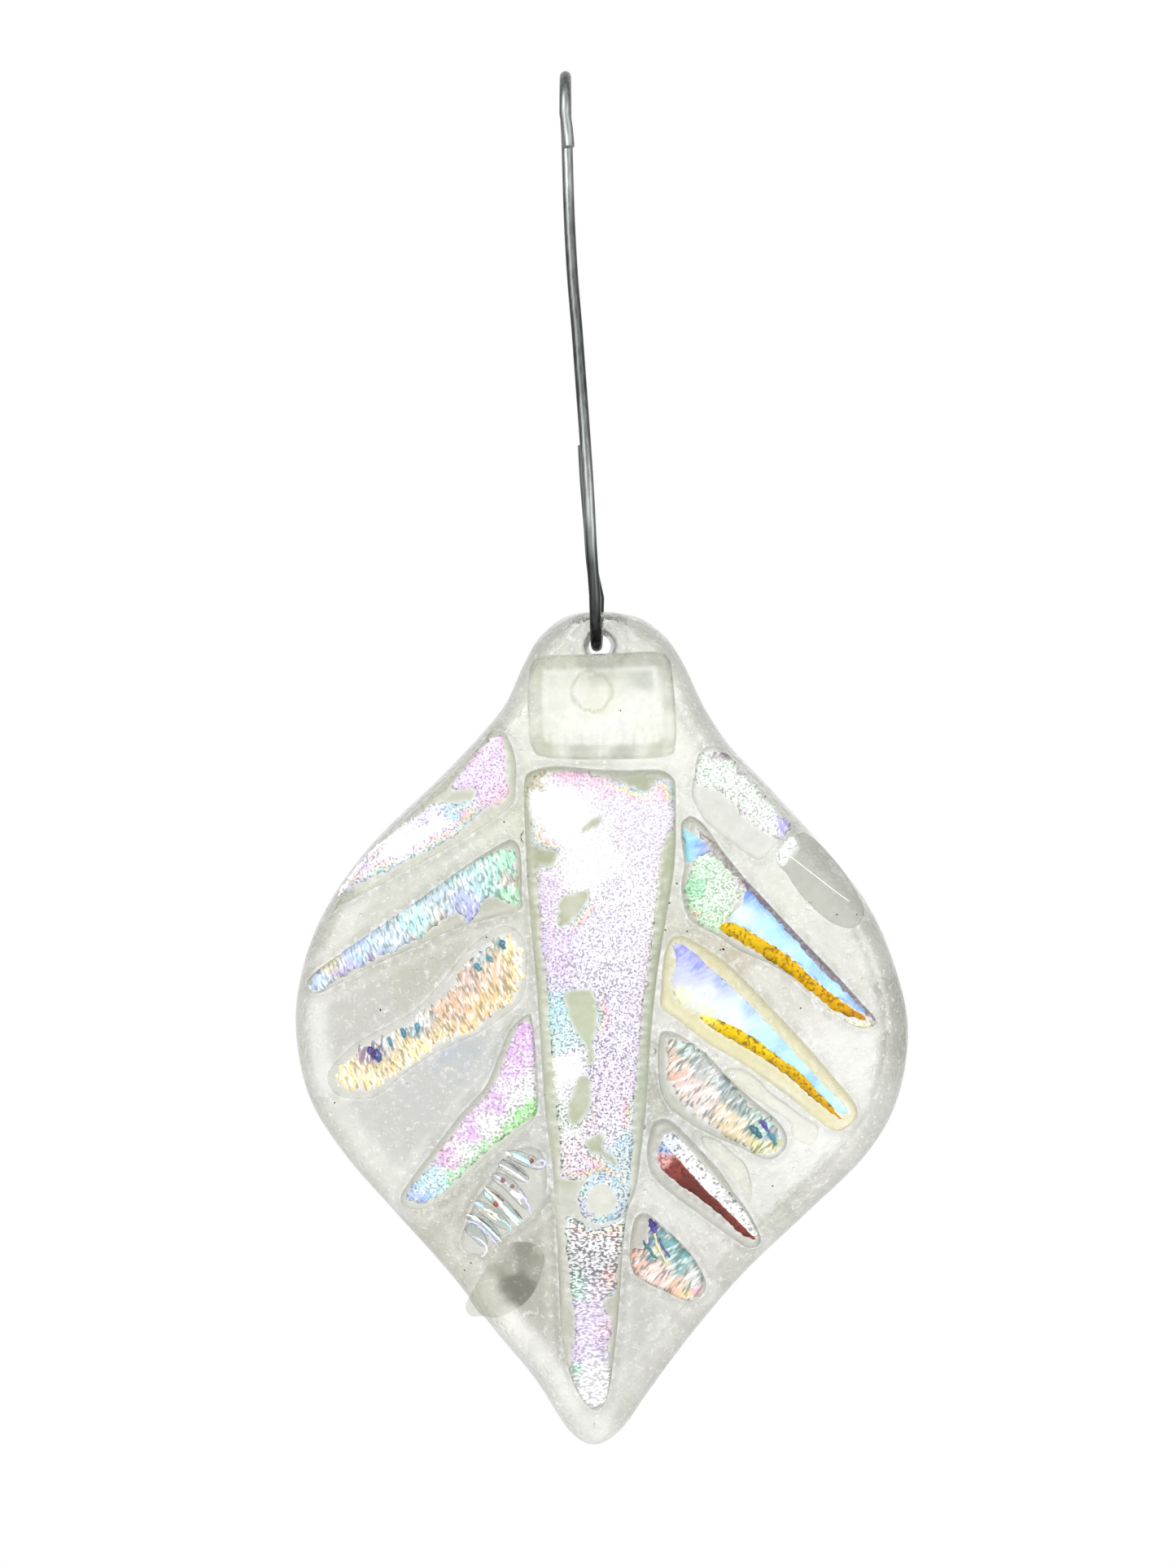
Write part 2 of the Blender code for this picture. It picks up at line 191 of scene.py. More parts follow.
def distance(points, loops):
    """How far each point is from the nearest loop."""
    nearest = np.full(len(points), 1e9)
    for loop in loops:
        a, b = loop, np.roll(loop, -1, 0)
        run = b - a
        squared = np.maximum(np.sum(run * run, axis=1), 1e-12)
        for start in range(0, len(points), 2000):
            p = points[start:start + 2000][:, None, :]
            t = np.clip(np.sum((p - a) * run, axis=2) / squared, 0, 1)
            gap = np.linalg.norm(p - (a + run * t[:, :, None]), axis=2).min(axis=1)
            nearest[start:start + 2000] = np.minimum(nearest[start:start + 2000], gap)
    return nearest


def triangles_in(loops, spacing, insets=()):
    """Points and triangles that fill the loops: a hexagonal grid, and rings at the insets."""
    outer = loops[0]
    low, high = outer.min(0), outer.max(0)
    rows = np.arange(low[1], high[1], spacing * math.sqrt(3) / 2)
    grid = [
        (x, z)
        for k, z in enumerate(rows)
        for x in np.arange(low[0] + (k % 2) * spacing / 2, high[0], spacing)
    ]
    grid = np.array(grid) if grid else np.zeros((0, 2))
    grid = grid[inside(grid, loops)]
    clear = max(insets, default=0) + spacing * 0.45
    grid = grid[distance(grid, loops) > clear]
    sets = [grid]
    for inset in insets:
        ring = np.concatenate([p + inward(p) * inset * (1 if i == 0 else -1)
                               for i, p in enumerate(loops)])
        ring = ring[inside(ring, loops)]
        sets.append(ring[distance(ring, loops) > inset * 0.93])
    flat = np.concatenate(loops + sets)
    edges, first = [], 0
    for loop in loops:
        edges += [(first + i, first + (i + 1) % len(loop)) for i in range(len(loop))]
        first += len(loop)
    made = delaunay_2d_cdt([Vector(p) for p in flat], edges, [], 0, 1e-5)
    points = np.array([tuple(p) for p in made[0]])
    faces = np.array([f for f in made[2] if len(f) == 3])
    faces = faces[inside(points[faces].mean(axis=1), loops)]
    return points, faces


# ---------------------------------------------------------------- meshes

def add_object(name, data):
    """A new object in the scene that shows the data."""
    made = bpy.data.objects.new(name, data)
    bpy.context.scene.collection.objects.link(made)
    return made


def finish_piece(made, material, body="leaf", cad_node=None):
    """Gives a piece its material and its body, and hides the CAD node it replaces, if any."""
    made.data.materials.append(material)
    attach(made, body)
    if cad_node:
        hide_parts(cad_node)


def mesh_object(name, points, faces, sharp=60):
    """An object from points in millimetres, smooth but where it bends by over sharp degrees."""
    shape = bmesh.new()
    corners = [shape.verts.new(place(*p)) for p in points]
    for face in faces:
        shape.faces.new([corners[i] for i in face])
    bmesh.ops.remove_doubles(shape, verts=shape.verts, dist=1e-7)
    bmesh.ops.recalc_face_normals(shape, faces=shape.faces)
    mesh = bpy.data.meshes.new(name)
    shape.to_mesh(mesh)
    shape.free()
    mesh.shade_smooth()
    mesh.set_sharp_from_angle(angle=math.radians(sharp))
    return add_object(name, mesh)


def add_rings(points, faces, rings):
    """Adds rings of points, each a loop in (x, z) with its y, and the walls between them."""
    for k, (loop, y) in enumerate(rings):
        first, count = len(points), len(loop)
        points.extend((p[0], y, p[1]) for p in loop)
        if k:
            faces.extend(
                (first - count + i, first - count + (i + 1) % count, first + (i + 1) % count,
                 first + i) for i in range(count)
            )


def rod(name, points, radii, resolution):
    """A round rod along a line, with a radius in millimetres at each of its points."""
    curve = bpy.data.curves.new(name, "CURVE")
    curve.dimensions = "3D"
    curve.bevel_depth = MM
    curve.bevel_resolution = resolution
    curve.use_fill_caps = True
    spline = curve.splines.new("POLY")
    spline.points.add(len(points) - 1)
    for point, p, radius in zip(spline.points, points, radii):
        point.co = (*place(*p), 1)
        point.radius = radius
    spline.use_smooth = True
    return add_object(name, curve)


def walls(faces):
    """The boundary edges of a triangle patch, each in its own triangle's direction."""
    edges = {}
    for a, b, c in faces:
        for edge in ((a, b), (b, c), (c, a)):
            edges[edge] = edges.get(edge, 0) + 1
    return [e for e in edges if (e[1], e[0]) not in edges]


def slab(name, points, faces, front, back, sharp=60):
    """A closed solid between two surfaces, given as arrays of y over the same points."""
    count = len(points)
    both = [(p[0], y, p[1]) for p, y in zip(points, front)]
    both += [(p[0], y, p[1]) for p, y in zip(points, back)]
    skin = [tuple(f) for f in faces] + [tuple(i + count for i in f[::-1]) for f in faces]
    sides = [(a, b, b + count, a + count) for a, b in walls(faces)]
    return mesh_object(name, both, skin + sides, sharp)


def rounded(depth, radius):
    """A quarter-round rise from 0 at the edge to 1 at radius from it."""
    t = np.clip(depth / radius, 0, 1)
    return np.sqrt(np.maximum(0, 1 - (1 - t) ** 2))


def settled(values, points, faces, fixed, rounds):
    """Values smoothed over a triangle patch, the fixed ones held."""
    neighbours = np.concatenate([faces[:, [0, 1]], faces[:, [1, 2]], faces[:, [2, 0]]])
    neighbours = np.concatenate([neighbours, neighbours[:, ::-1]])
    for _ in range(rounds):
        total, count = np.zeros(len(values)), np.zeros(len(values))
        np.add.at(total, neighbours[:, 0], values[neighbours[:, 1]])
        np.add.at(count, neighbours[:, 0], 1)
        values = np.where(fixed, values, 0.5 * values + 0.5 * total / np.maximum(count, 1))
    return values


def ripple(x, z, size, seed=0.0):
    """Noise from about -1 to 1 at a place, in grains of this size."""
    return noise.noise(Vector((x / size, seed, z / size)))


def paint(made, tint_at):
    """Stores a tint on each vertex, from a function of its (x, z) places in millimetres."""
    places = np.array([tuple(v.co) for v in made.data.vertices])
    flat = (places - np.array(HOLE))[:, [0, 2]] / MM
    values = np.ones((len(flat), 4))
    values[:, :3] = np.clip(tint_at(flat), 0, 1)
    tint = made.data.color_attributes.new("tint", "FLOAT_COLOR", "POINT")
    tint.data.foreach_set("color", values.ravel())


TINT_GRAIN = 0.9  # how finely the borders of tints are ragged
TINT_CORE = 0.15  # so far round its middle a spot is even


def blended(points, spots, warp, sharpness=5):
    """Linear colours drawn from the nearest spots (x, z, code, reach), with ragged borders."""
    moved = np.array([
        (x + warp * ripple(x, z, TINT_GRAIN, 1.3), z + warp * ripple(x, z, TINT_GRAIN, 8.1))
        for x, z in points
    ])
    total = np.zeros((len(points), 3))
    weight = np.zeros(len(points))
    for x, z, code, reach in spots:
        near = (reach / (np.linalg.norm(moved - (x, z), axis=1) + TINT_CORE)) ** sharpness
        total += near[:, None] * np.array(srgb(code))
        weight += near
    return total / weight[:, None]


def toward(colours, code, share):
    """The colours mixed with one colour by a share for each point."""
    share = np.clip(share, 0, 1)[:, None]
    return colours * (1 - share) + np.array(srgb(code)) * share


def band(values, middle, width):
    """A soft bump: 1 where a value is in the middle, 0 a few widths away."""
    return np.exp(-((values - middle) / width) ** 2)

def lined(tint, lines, measure, share=1.0):
    """The tint with soft lines where a measure has a value: (colour, strength, value, width)."""
    for code, strength, at, width in lines:
        tint = toward(tint, code, strength * share * band(measure, at, width))
    return tint


DOME_INSETS = (0.05, 0.18, 0.38, 0.65)
DOME_STEP = 0.35  # between the points of its edge
DOME_GAP = 0.02  # between a dome and the plate it lies on
DOME_EDGE = 0.04  # how tall its wall is at the very edge
DOME_WAVES = 0.05  # how uneven its top is
DOME_WAVE_SIZE = 1.6
DOME_KEPT = 0.3  # so far from its edge it isn't smoothed
SETTLING = 6  # rounds of smoothing for its top
SUNK_SETTLING = 60


def dome(name, outline, height, radius, slot, material, tint_at, cad_node=None, sunk=False,
         spacing=0.5):
    """A clear pillow of glass on the plate's front; a sunk one rises without a visible edge."""
    loop = smooth_loop(outline, DOME_STEP)
    points, faces = triangles_in([loop], spacing, DOME_INSETS)
    depth = distance(points, [loop])
    slope = np.clip(depth / radius, 0, 1)
    rise = (slope * slope * (3 - 2 * slope) if sunk else rounded(depth, radius)) * height
    kept = depth < DOME_KEPT
    rise = settled(rise, points, faces, kept, SUNK_SETTLING if sunk else SETTLING)
    waves = np.array([ripple(p[0], p[1], DOME_WAVE_SIZE) for p in points])
    rise += DOME_WAVES * waves * np.clip(depth, 0, 1)
    base = np.full(len(points), FRONT - DOME_GAP)
    front = base - DOME_EDGE - np.where(depth < 1e-6, 0.0, rise)
    made = slab(name, points, faces, front, base)
    paint(made, tint_at)
    finish_piece(made, material, cad_node=cad_node)


FILM_THICKNESS = 0.03
FILM_DEPTH = 0.2  # in front of the plate
FILM_STEP = 0.25  # between the points of its edge
FILM_SPACING = 0.32  # between the points inside it
CROWN = 0.12  # how much it stands up in its middle
CROWN_RADIUS = 2.2
FILM_SHADE = 0.9  # of its tint, because the glass over it brightens it
LAP = 0.05  # how far a film that laps over its neighbour stands in front of it


def film(name, loops, spots, material, slot, torn=(0.25, 0.45), warp=0.7, wash=("FFFFFF", 0.0),
         lift=0.0, sharpness=5):
    """An iridescent coating: a thin torn sheet just over the plate, under its shard's glass.

    torn is how far and how finely its edge is torn. warp and sharpness are how ragged and how
    sharp the borders of its tints are. wash is a colour laid over all of them, and its share.
    """
    edges = [ragged(smooth_loop(p, FILM_STEP), *torn) for p in loops]
    points, faces = triangles_in(edges, FILM_SPACING)
    crown = CROWN * rounded(distance(points, edges[:1]), CROWN_RADIUS)
    front = FRONT - FILM_DEPTH - lift - crown
    made = slab(name, points, faces, front, front + FILM_THICKNESS, sharp=75)

    def tint_at(flat):
        washed = toward(blended(flat, spots, warp, sharpness), wash[0], np.full(len(flat), wash[1]))
        return with_fringe(washed, flat, edges) * FILM_SHADE

    paint(made, tint_at)
    finish_piece(made, material)


# The rainbow line of a thinning coating: colour, strength, distance from the edge, width.
FRINGE = [("7FD2F8", 1.0, 0.15, 0.17), ("FAE68A", 1.0, 0.45, 0.17), ("F9AEC4", 1.0, 0.75, 0.17)]
# Where the coating thins at its edge and shows a rainbow line: x, z, reach.
FRINGE_PLACES = [
    (-1.9, -26.0, 1.5), (-5.0, -18.7, 1.5), (3.2, -13.4, 2.2), (-0.5, -50.9, 2.4),
    (-0.3, -35.5, 1.6), (-1.4, -44.9, 1.0), (0.2, -55.3, 2.2), (-12.5, -16.7, 1.6),
    (-16.0, -19.3, 1.8), (-23.4, -23.6, 1.6), (-20.5, -21.6, 1.4), (2.2, -44.8, 1.2),
    (-4.8, -20.6, 1.0), (6.2, -14.2, 1.0), (-1.2, -56.0, 1.4), (1.6, -62.4, 1.0),
]


def with_fringe(colours, flat, edges):
    """The colours with a rainbow line along the edges, near the places where it shows."""
    places = [band(np.linalg.norm(flat - (x, z), axis=1), 0, r) for x, z, r in FRINGE_PLACES]
    return lined(colours, FRINGE, distance(flat, edges), np.max(places, axis=0))


# ---------------------------------------------------------------- materials

def new_material(name):
    """A material, its node tree and its shader."""
    made = bpy.data.materials.new(name)
    made.use_nodes = True
    tree = made.node_tree
    return made, tree, tree.nodes["Principled BSDF"]


def fill(tree, made, inputs):
    """Gives a node's sockets, by name or number, a value each or a link from an output."""
    for key, value in inputs.items():
        if isinstance(value, bpy.types.NodeSocket):
            tree.links.new(value, made.inputs[key])
        else:
            made.inputs[key].default_value = value


def node(tree, kind, inputs=None, **settings):
    """A node with its settings, and with its sockets filled."""
    made = tree.nodes.new(kind)
    for key, value in settings.items():
        setattr(made, key, value)
    fill(tree, made, inputs or {})
    return made


def ramp(tree, source, stops):
    """A colour ramp over a 0 to 1 value, from (position, grey or colour) stops."""
    made = node(tree, "ShaderNodeValToRGB", {"Fac": source})
    elements = made.color_ramp.elements
    while len(elements) < len(stops):
        elements.new(0.5)
    for element, (at, value) in zip(elements, stops):
        element.position = at
        colour = (value, value, value) if isinstance(value, (int, float)) else value
        element.color = (*colour, 1)
    return made.outputs["Color"]


def mapped(tree, value, low, high, ends=(0.0, 1.0)):
    """A value that runs between the ends while the given one runs from low to high."""
    made = node(tree, "ShaderNodeMapRange", {
        "Value": value, "From Min": low, "From Max": high, "To Min": ends[0], "To Max": ends[1],
    })
    return made.outputs[0]


def coordinate(tree, axis, kind="Object"):
    """One coordinate of the point that is shaded."""
    whole = node(tree, "ShaderNodeTexCoord").outputs[kind]
    return node(tree, "ShaderNodeSeparateXYZ", {0: whole}).outputs[axis]


def noise_value(tree, scale, detail, stretch=(1, 1, 1), turn=0.0):
    """Noise in features per metre, its grains stretched along axes turned round Y."""
    mapping = node(tree, "ShaderNodeMapping", {
        "Vector": node(tree, "ShaderNodeTexCoord").outputs["Object"],
        "Scale": stretch, "Rotation": (0, turn, 0),
    }, vector_type="TEXTURE")
    made = node(tree, "ShaderNodeTexNoise", {
        "Vector": mapping.outputs["Vector"], "Scale": scale, "Detail": detail,
    })
    return made.outputs["Fac"]


def mixed(tree, factor, first, second, blend="MIX"):
    """A mix of two colours, each given as a colour or as an output."""
    ends = [(*end, 1) if isinstance(end, tuple) else end for end in (first, second)]
    made = node(tree, "ShaderNodeMix", {0: factor, 6: ends[0], 7: ends[1]}, data_type="RGBA",
                blend_type=blend)
    return made.outputs[2]


def product(tree, first, second):
    return node(tree, "ShaderNodeMath", {0: first, 1: second}, operation="MULTIPLY").outputs[0]


def by_height(tree, top, bottom):
    """A value that changes with height between two (height, value) pairs."""
    low, high = HOLE.z + bottom[0] * MM, HOLE.z + top[0] * MM
    return mapped(tree, coordinate(tree, "Z"), low, high, (bottom[1], top[1]))


def add_bump(tree, shader, heights, distance_mm):
    bump = node(tree, "ShaderNodeBump", {
        "Strength": 1.0, "Distance": distance_mm * MM, "Height": heights,
    })
    fill(tree, shader, {"Normal": bump.outputs["Normal"]})


def tint_output(tree):
    return node(tree, "ShaderNodeAttribute", attribute_name="tint").outputs["Color"]


def clear_glass(name, bump, grain, mottle, roughness=0.03, sparkle=0.0, ior=1.45):
    """Clear fused glass: its painted tint, mottled, with a pebbled surface and white specks painted
    as sparkles of light.
    """
    made, tree, shader = new_material(name)
    cloud = ramp(tree, noise_value(tree, 620, 5), [(0.36, mottle), (0.60, 0.0)])
    colour = mixed(tree, cloud, tint_output(tree), srgb("B9BAB0"))
    if sparkle:
        # painted highlights: white sparkles mixed into the glass's colour
        specks = ramp(tree, noise_value(tree, 1900, 3), [(0.60, 0.0), (0.66, sparkle)])
        colour = mixed(tree, specks, colour, (1.0, 1.0, 0.98))
    fill(tree, shader, {
        "Base Color": colour, "Transmission Weight": 1.0, "IOR": ior, "Roughness": roughness,
    })
    add_bump(tree, shader, noise_value(tree, grain, 3), bump)
    return made


def coating(name, grain_colour, amount, size=4200, painted_glints=0.3, roughness=0.3, metallic=0.35,
            bump=0.03, stretch=(1, 1, 1), turn=0, pale_grain=0.2, cover=0.50,
            thinning=((-14, 1.0), (-44, 1.0))):
    """A vacuum-coated film: its tint, white painted glints of light, and dark grain where the tint
    is strong.

    size is in grains per metre, stretched along axes turned by so many degrees. pale_grain is
    the grain's share where the tint is pale, and thinning its share at two heights.
    """
    made, tree, shader = new_material(name)
    tint = tint_output(tree)
    angle = math.radians(turn)
    grains = noise_value(tree, size, 2.5, stretch, angle)
    strokes = noise_value(tree, size * 0.6, 2.5, stretch, angle + 0.5)
    # painted glints: white specks of light mixed into the coating's colour
    white = ramp(tree, strokes, [(0.48, 0.0), (0.58, painted_glints)])
    with_glints = mixed(tree, white, tint, (1.0, 1.0, 1.0))
    parts = node(tree, "ShaderNodeSeparateColor", {0: tint}, mode="HSV")
    strong = ramp(tree, parts.outputs["Green"], [(0.0, pale_grain), (0.08, 1.0)])
    speckle = ramp(tree, grains, [(cover, 0.0), (cover + 0.11, amount)])
    share = product(tree, product(tree, strong, speckle), by_height(tree, *thinning))
    fill(tree, shader, {
        "Base Color": mixed(tree, share, with_glints, srgb(grain_colour)),
        "Roughness": roughness, "Metallic": metallic,
    })
    add_bump(tree, shader, grains, bump)
    return made


def rib_glass():
    """Clear glass that bends light little, because it is fused into the glass round it."""
    made, tree, shader = new_material("rib_glass")
    tone = ramp(tree, noise_value(tree, 500, 2), [(0.4, srgb("E4ECEE")), (0.6, srgb("FAFBFA"))])
    fill(tree, shader, {
        "Base Color": tone, "Transmission Weight": 1.0, "IOR": 1.12, "Roughness": 0.02,
    })
    return made


def plain_material(name, code, roughness):
    """One colour, a little lighter in patches."""
    made, tree, shader = new_material(name)
    colour = srgb(code)
    lighter = tuple(0.88 * part + 0.12 for part in colour)
    tone = ramp(tree, noise_value(tree, 3000, 2), [(0.45, colour), (0.75, lighter)])
    fill(tree, shader, {"Base Color": tone, "Roughness": roughness})
    return made


# The wire's painted light and shade from the hole, at 0, to the top of its crook, at 1: painted
# shade, nearly black, near the glass, and painted highlights in bands higher up.
WIRE_PAINTED_LIGHT = [(0.0, 0.05), (0.14, 0.07), (0.22, 0.30), (0.34, 0.26), (0.46, 0.11), (0.66, 0.14),
               (0.78, 0.20), (0.84, 0.32), (0.97, 0.28)]


def steel():
    """Drawn wire: dull grey with fine streaks, with painted shade that makes it nearly black near
    the glass and painted highlights that make it bright in places.
    """
    made, tree, shader = new_material("steel_wire")
    streaks = noise_value(tree, 2600, 4, (1, 1, 25))
    # painted light and shade along the wire's height
    shade = ramp(tree, mapped(tree, coordinate(tree, "Z"), HOLE.z, 0.0), WIRE_PAINTED_LIGHT)
    grey = ramp(tree, streaks, [(0.35, (0.52, 0.56, 0.54)), (0.65, (0.95, 1.0, 0.97))])
    fill(tree, shader, {
        "Base Color": mixed(tree, 1.0, shade, grey, "MULTIPLY"), "Metallic": 1.0,
        "Roughness": ramp(tree, streaks, [(0.3, 0.25), (0.7, 0.42)]),
    })
    add_bump(tree, shader, streaks, 0.02)
    return made


# ---------------------------------------------------------------- the plate

FRONT_RIM_WIDTH = 2.6
BACK_RIM_WIDTH = 1.1
BACK_RIM_HEIGHT = 1.3
RIM_STEPS = 12
WAIST_RADIUS = 1.05  # where the drilled hole is narrowest

# The glass's tint between the shards, and along its rim: partly its own tone and partly painted
# light, with near-white painted highlights on the right and a warm painted reflection of the gold
# coatings near (9.5, -27.6) and (13, -30).
PLATE_TINTS = [
    (0.0, 1.0, "E6E8DC", 3.0), (0.0, -6.0, "FAFBF4", 3.0), (-8.0, -8.0, "E8EADC", 2.0),
    (8.5, -9.5, "F8FAEE", 2.5), (0.0, -11.6, "DEDFD0", 1.2), (-8.4, -17.3, "DFE2CC", 1.5),
    (-22.0, -25.5, "D6D8CA", 3.0), (-26.5, -30.0, "E0E0D2", 2.0), (-17.0, -31.5, "C9C9BB", 3.0),
    (-23.0, -36.0, "D0D0C8", 3.0), (-14.2, -39.6, "C4CCD2", 1.4), (-17.0, -44.5, "D2D3CE", 4.0),
    (-23.0, -45.0, "D4D5CF", 3.0),
    (-18.0, -50.0, "D7D9D1", 2.0), (-14.0, -56.0, "BDBCAC", 2.5), (-5.0, -62.0, "BABAAC", 2.5),
    (-6.5, -67.5, "B6B6AA", 2.5), (-2.6, -74.0, "F2F2EB", 1.5), (2.0, -74.0, "D5D5CF", 2.0),
    (4.5, -67.0, "D2D2CC", 3.0), (8.0, -65.0, "D8D8D2", 2.0), (11.0, -60.0, "DCDCD4", 2.0),
    (2.6, -60.0, "C2C3B8", 1.2), (15.0, -52.5, "ECECE6", 3.0), (20.0, -47.5, "FCFCF7", 4.0),
    (25.5, -41.0, "FAFAF5", 3.0), (24.0, -33.0, "E8E8DE", 2.0), (18.0, -34.5, "E2E1D4", 1.5),
    (9.5, -27.6, "D4D1BE", 1.0), (13.0, -30.0, "D6CBB2", 1.0), (18.0, -24.5, "EDEFE3", 3.0),
    (23.5, -29.0, "E8E9DF", 2.5), (14.5, -41.5, "FAFAEE", 1.5), (12.5, -48.4, "F2F3EC", 1.8),
    (9.8, -46.9, "CFD1C6", 0.8), (5.0, -44.0, "C2C6BC", 1.2), (13.5, -52.6, "D6D7CF", 0.8),
]
# Painted light and shade of the rounded rim, mostly darker than the face: x, z, tint of the rim's
# outer half, tint of its inner half, reach
RIM_PAINTED_SHADING = [
    (0.0, 3.0, "CFD1C8", "E4E6DC", 3.0), (5.0, 1.5, "C8CAC0", "E2E4DA", 3.0),
    (9.0, -5.0, "D8DAD0", "E2E4DA", 3.0), (12.0, -9.5, "DADCD0", "D6D8CC", 3.0),
    (21.0, -19.0, "DCDED0", "C2C4B5", 4.0), (27.0, -28.0, "C6C8BA", "DADCCF", 4.0),
    (29.5, -36.0, "A4A496", "A2A294", 4.0), (28.5, -44.0, "CECFC6", "CCCDC3", 3.0),
    (24.0, -51.0, "CBCCC1", "D8D8D0", 3.0), (17.0, -57.5, "C8C9BC", "BDBEB0", 3.0),
    (9.5, -65.5, "CCCCC2", "DCDCD4", 3.0), (3.5, -73.0, "D2D2CA", "DADAD3", 3.0),
    (0.0, -77.0, "E8E9E3", "F2F2EC", 2.0), (-5.0, -73.0, "DEDFD6", "FAFAF5", 3.0),
    (-10.0, -66.5, "DCDCD2", "F4F4EE", 2.5), (-17.0, -58.0, "C4C3B4", "CBC9BA", 3.0),
    (-25.0, -49.0, "D0D2C6", "E6E7DD", 4.0), (-29.5, -38.0, "D6D8CC", "EFF0E9", 4.0),
    (-27.5, -29.0, "D2D2C5", "EAEADD", 3.0), (-21.0, -18.5, "CDD2C6", "DADCD4", 4.0),
    (-12.5, -9.5, "D6D8CC", "E4E6DA", 3.0), (-8.5, -4.0, "DFE1D4", "EDEFE1", 3.0),
    (-5.0, 1.5, "C9CAC2", "DADCD0", 3.0),
]

# Lines in the plate's tint: colour, strength, place, width. The places are distances from the rim
# on the right, from the shards' edges, and from the hole's centre. By the rim, painted shade lines
# either side of a painted highlight line; by the shards, a painted shade line in the groove and a
# painted highlight line beyond it; at the hole, a grey line at the countersink's edge and a dark
# ring of painted shade in the bore.
RIM_SHADE_AND_HIGHLIGHT_LINES = [("B9BAB0", 0.45, 2.5, 0.22), ("FFFFFF", 0.35, 2.1, 0.15), ("B8B9AE", 0.5, 1.4, 0.4)]
GROOVE_SHADE_AND_HIGHLIGHT_LINES = [("9FA093", 0.35, 0.25, 0.3), ("FAFAF4", 0.45, 1.0, 0.3)]
HOLE_EDGE_AND_SHADE_LINES = [("9A9C94", 0.6, 2.75, 0.16), ("5C5E57", 0.85, HOLE_RADIUS, 0.1)]


COARSE_STEP = 0.6  # between the points of a loop that only tints and crumbs go by


def cad_loop(name):
    """The outline of a CAD piece as a smooth, coarse loop."""
    return smooth_loop(cad_outline(name), COARSE_STEP)


RIM_SPLIT = 1.1  # where the rim's outer tints start to give way to its inner ones
RIM_BLEND = 0.9  # and over what width
LEAF_MIDDLE = -37  # the height of the point that the rim's streaks lead away from
STREAKS_PER_RADIAN = 45
STREAK_STRENGTH = 0.14


def plate_tint(flat):
    """The plate's tint: its rim with painted shade, a painted highlight at its outer edge, a
    painted light line inside the rim, painted shade and highlight lines in the grooves round the
    shards, and painted shade in the drilled hole.
    """
    deep = distance(flat, [smooth_loop(PLATE_OUTLINE, 0.8)])
    outer = blended(flat, [(x, z, code, r) for x, z, code, _, r in RIM_PAINTED_SHADING], 0.8)
    inner = blended(flat, [(x, z, code, r) for x, z, _, code, r in RIM_PAINTED_SHADING], 0.8)
    share = np.clip((deep - RIM_SPLIT) / RIM_BLEND, 0, 1)[:, None]
    rim = outer * (1 - share) + inner * share
    # painted highlight along the rim's outer edge
    rim = toward(rim, "F4F4F0", 0.8 - deep / 0.45)
    turn = np.arctan2(flat[:, 1] - LEAF_MIDDLE, flat[:, 0])
    streaks = np.array([noise.noise(Vector((a * STREAKS_PER_RADIAN, 0.5, 0))) for a in turn])
    rim *= (1 + STREAK_STRENGTH * streaks)[:, None]
    share = np.clip((deep - FRONT_RIM_WIDTH) / 0.5, 0, 1)[:, None]
    tint = rim * (1 - share) + blended(flat, PLATE_TINTS, 2.2) * share
    # painted highlight: a light line inside the rim
    tint = toward(tint, "FBFBF6", 0.6 * band(deep, 3.1, 0.25))
    wander = deep + np.array([0.5 * ripple(x, z, 6.0, 7.0) for x, z in flat])
    right = np.clip(flat[:, 0] / 12, 0, 1)  # whole from 12 mm on
    tint = lined(tint, RIM_SHADE_AND_HIGHLIGHT_LINES, wander, right)
    shards = [(cad_loop(cad_node), line) for cad_node, _, _, line, _, _ in DOMES.values()]
    shards.append((cad_loop("centre_spike"), 1))
    outside = ~inside(flat, [loop for loop, _ in shards])
    away = distance(flat, [loop for loop, line in shards if line > 0])
    tint = toward(tint, "FFFFFF", 0.85 * ~outside)
    tint = lined(tint, GROOVE_SHADE_AND_HIGHLIGHT_LINES, away, outside)
    reach = np.linalg.norm(flat, axis=1)
    # painted shade: the drilled hole's mouth and walls greyer
    tint = toward(tint, "DADBD4", 0.8 * (reach < MOUTH_RADIUS + 0.25))
    return lined(tint, HOLE_EDGE_AND_SHADE_LINES, reach)


def plate_rings(outline):
    """Rings round the plate's rim, from its back face over the edge to its front face."""
    normals = inward(outline)
    room = np.linalg.norm(outline, axis=1) - MOUTH_RADIUS - 0.15  # to the hole's mouth
    back_width, front_width = (np.minimum(w, room) for w in (BACK_RIM_WIDTH, FRONT_RIM_WIDTH))
    back_start = BACK - BACK_RIM_HEIGHT
    angles = [math.radians(90 * s / RIM_STEPS) for s in range(RIM_STEPS + 1)]
    levels = [(back_width * (1 - math.sin(a)), back_start + BACK_RIM_HEIGHT * math.cos(a))
              for a in angles]
    levels += [(front_width * (1 - math.cos(a)), back_start + (FRONT - back_start) * math.sin(a))
               for a in angles[1:]]
    return [(outline + normals * inset[:, None], y) for inset, y in levels]


def hole_rings(sides=48):
    """Rings down the drilled hole, from the front face to the back, its edges rounded."""
    levels = []
    for s in range(7):
        a = math.radians(90 * s / 6)
        level = BACK - HOLE_FILLET * (1 - math.sin(a))
        levels.append((HOLE_RADIUS + HOLE_FILLET * (1 - math.cos(a)), level))
    levels = [(r, -y) for r, y in reversed(levels)] + [(WAIST_RADIUS, 0.0)] + levels
    return [(circle(0, 0, r, sides), y) for r, y in levels]


BACK_SPACING = 1.0  # between the points inside a face
FRONT_SPACING = 0.55
BACK_WAVES = 0.04
FRONT_WAVES = 0.12
FRONT_SINK = 0.05  # how much lower the front face lies inside its rim


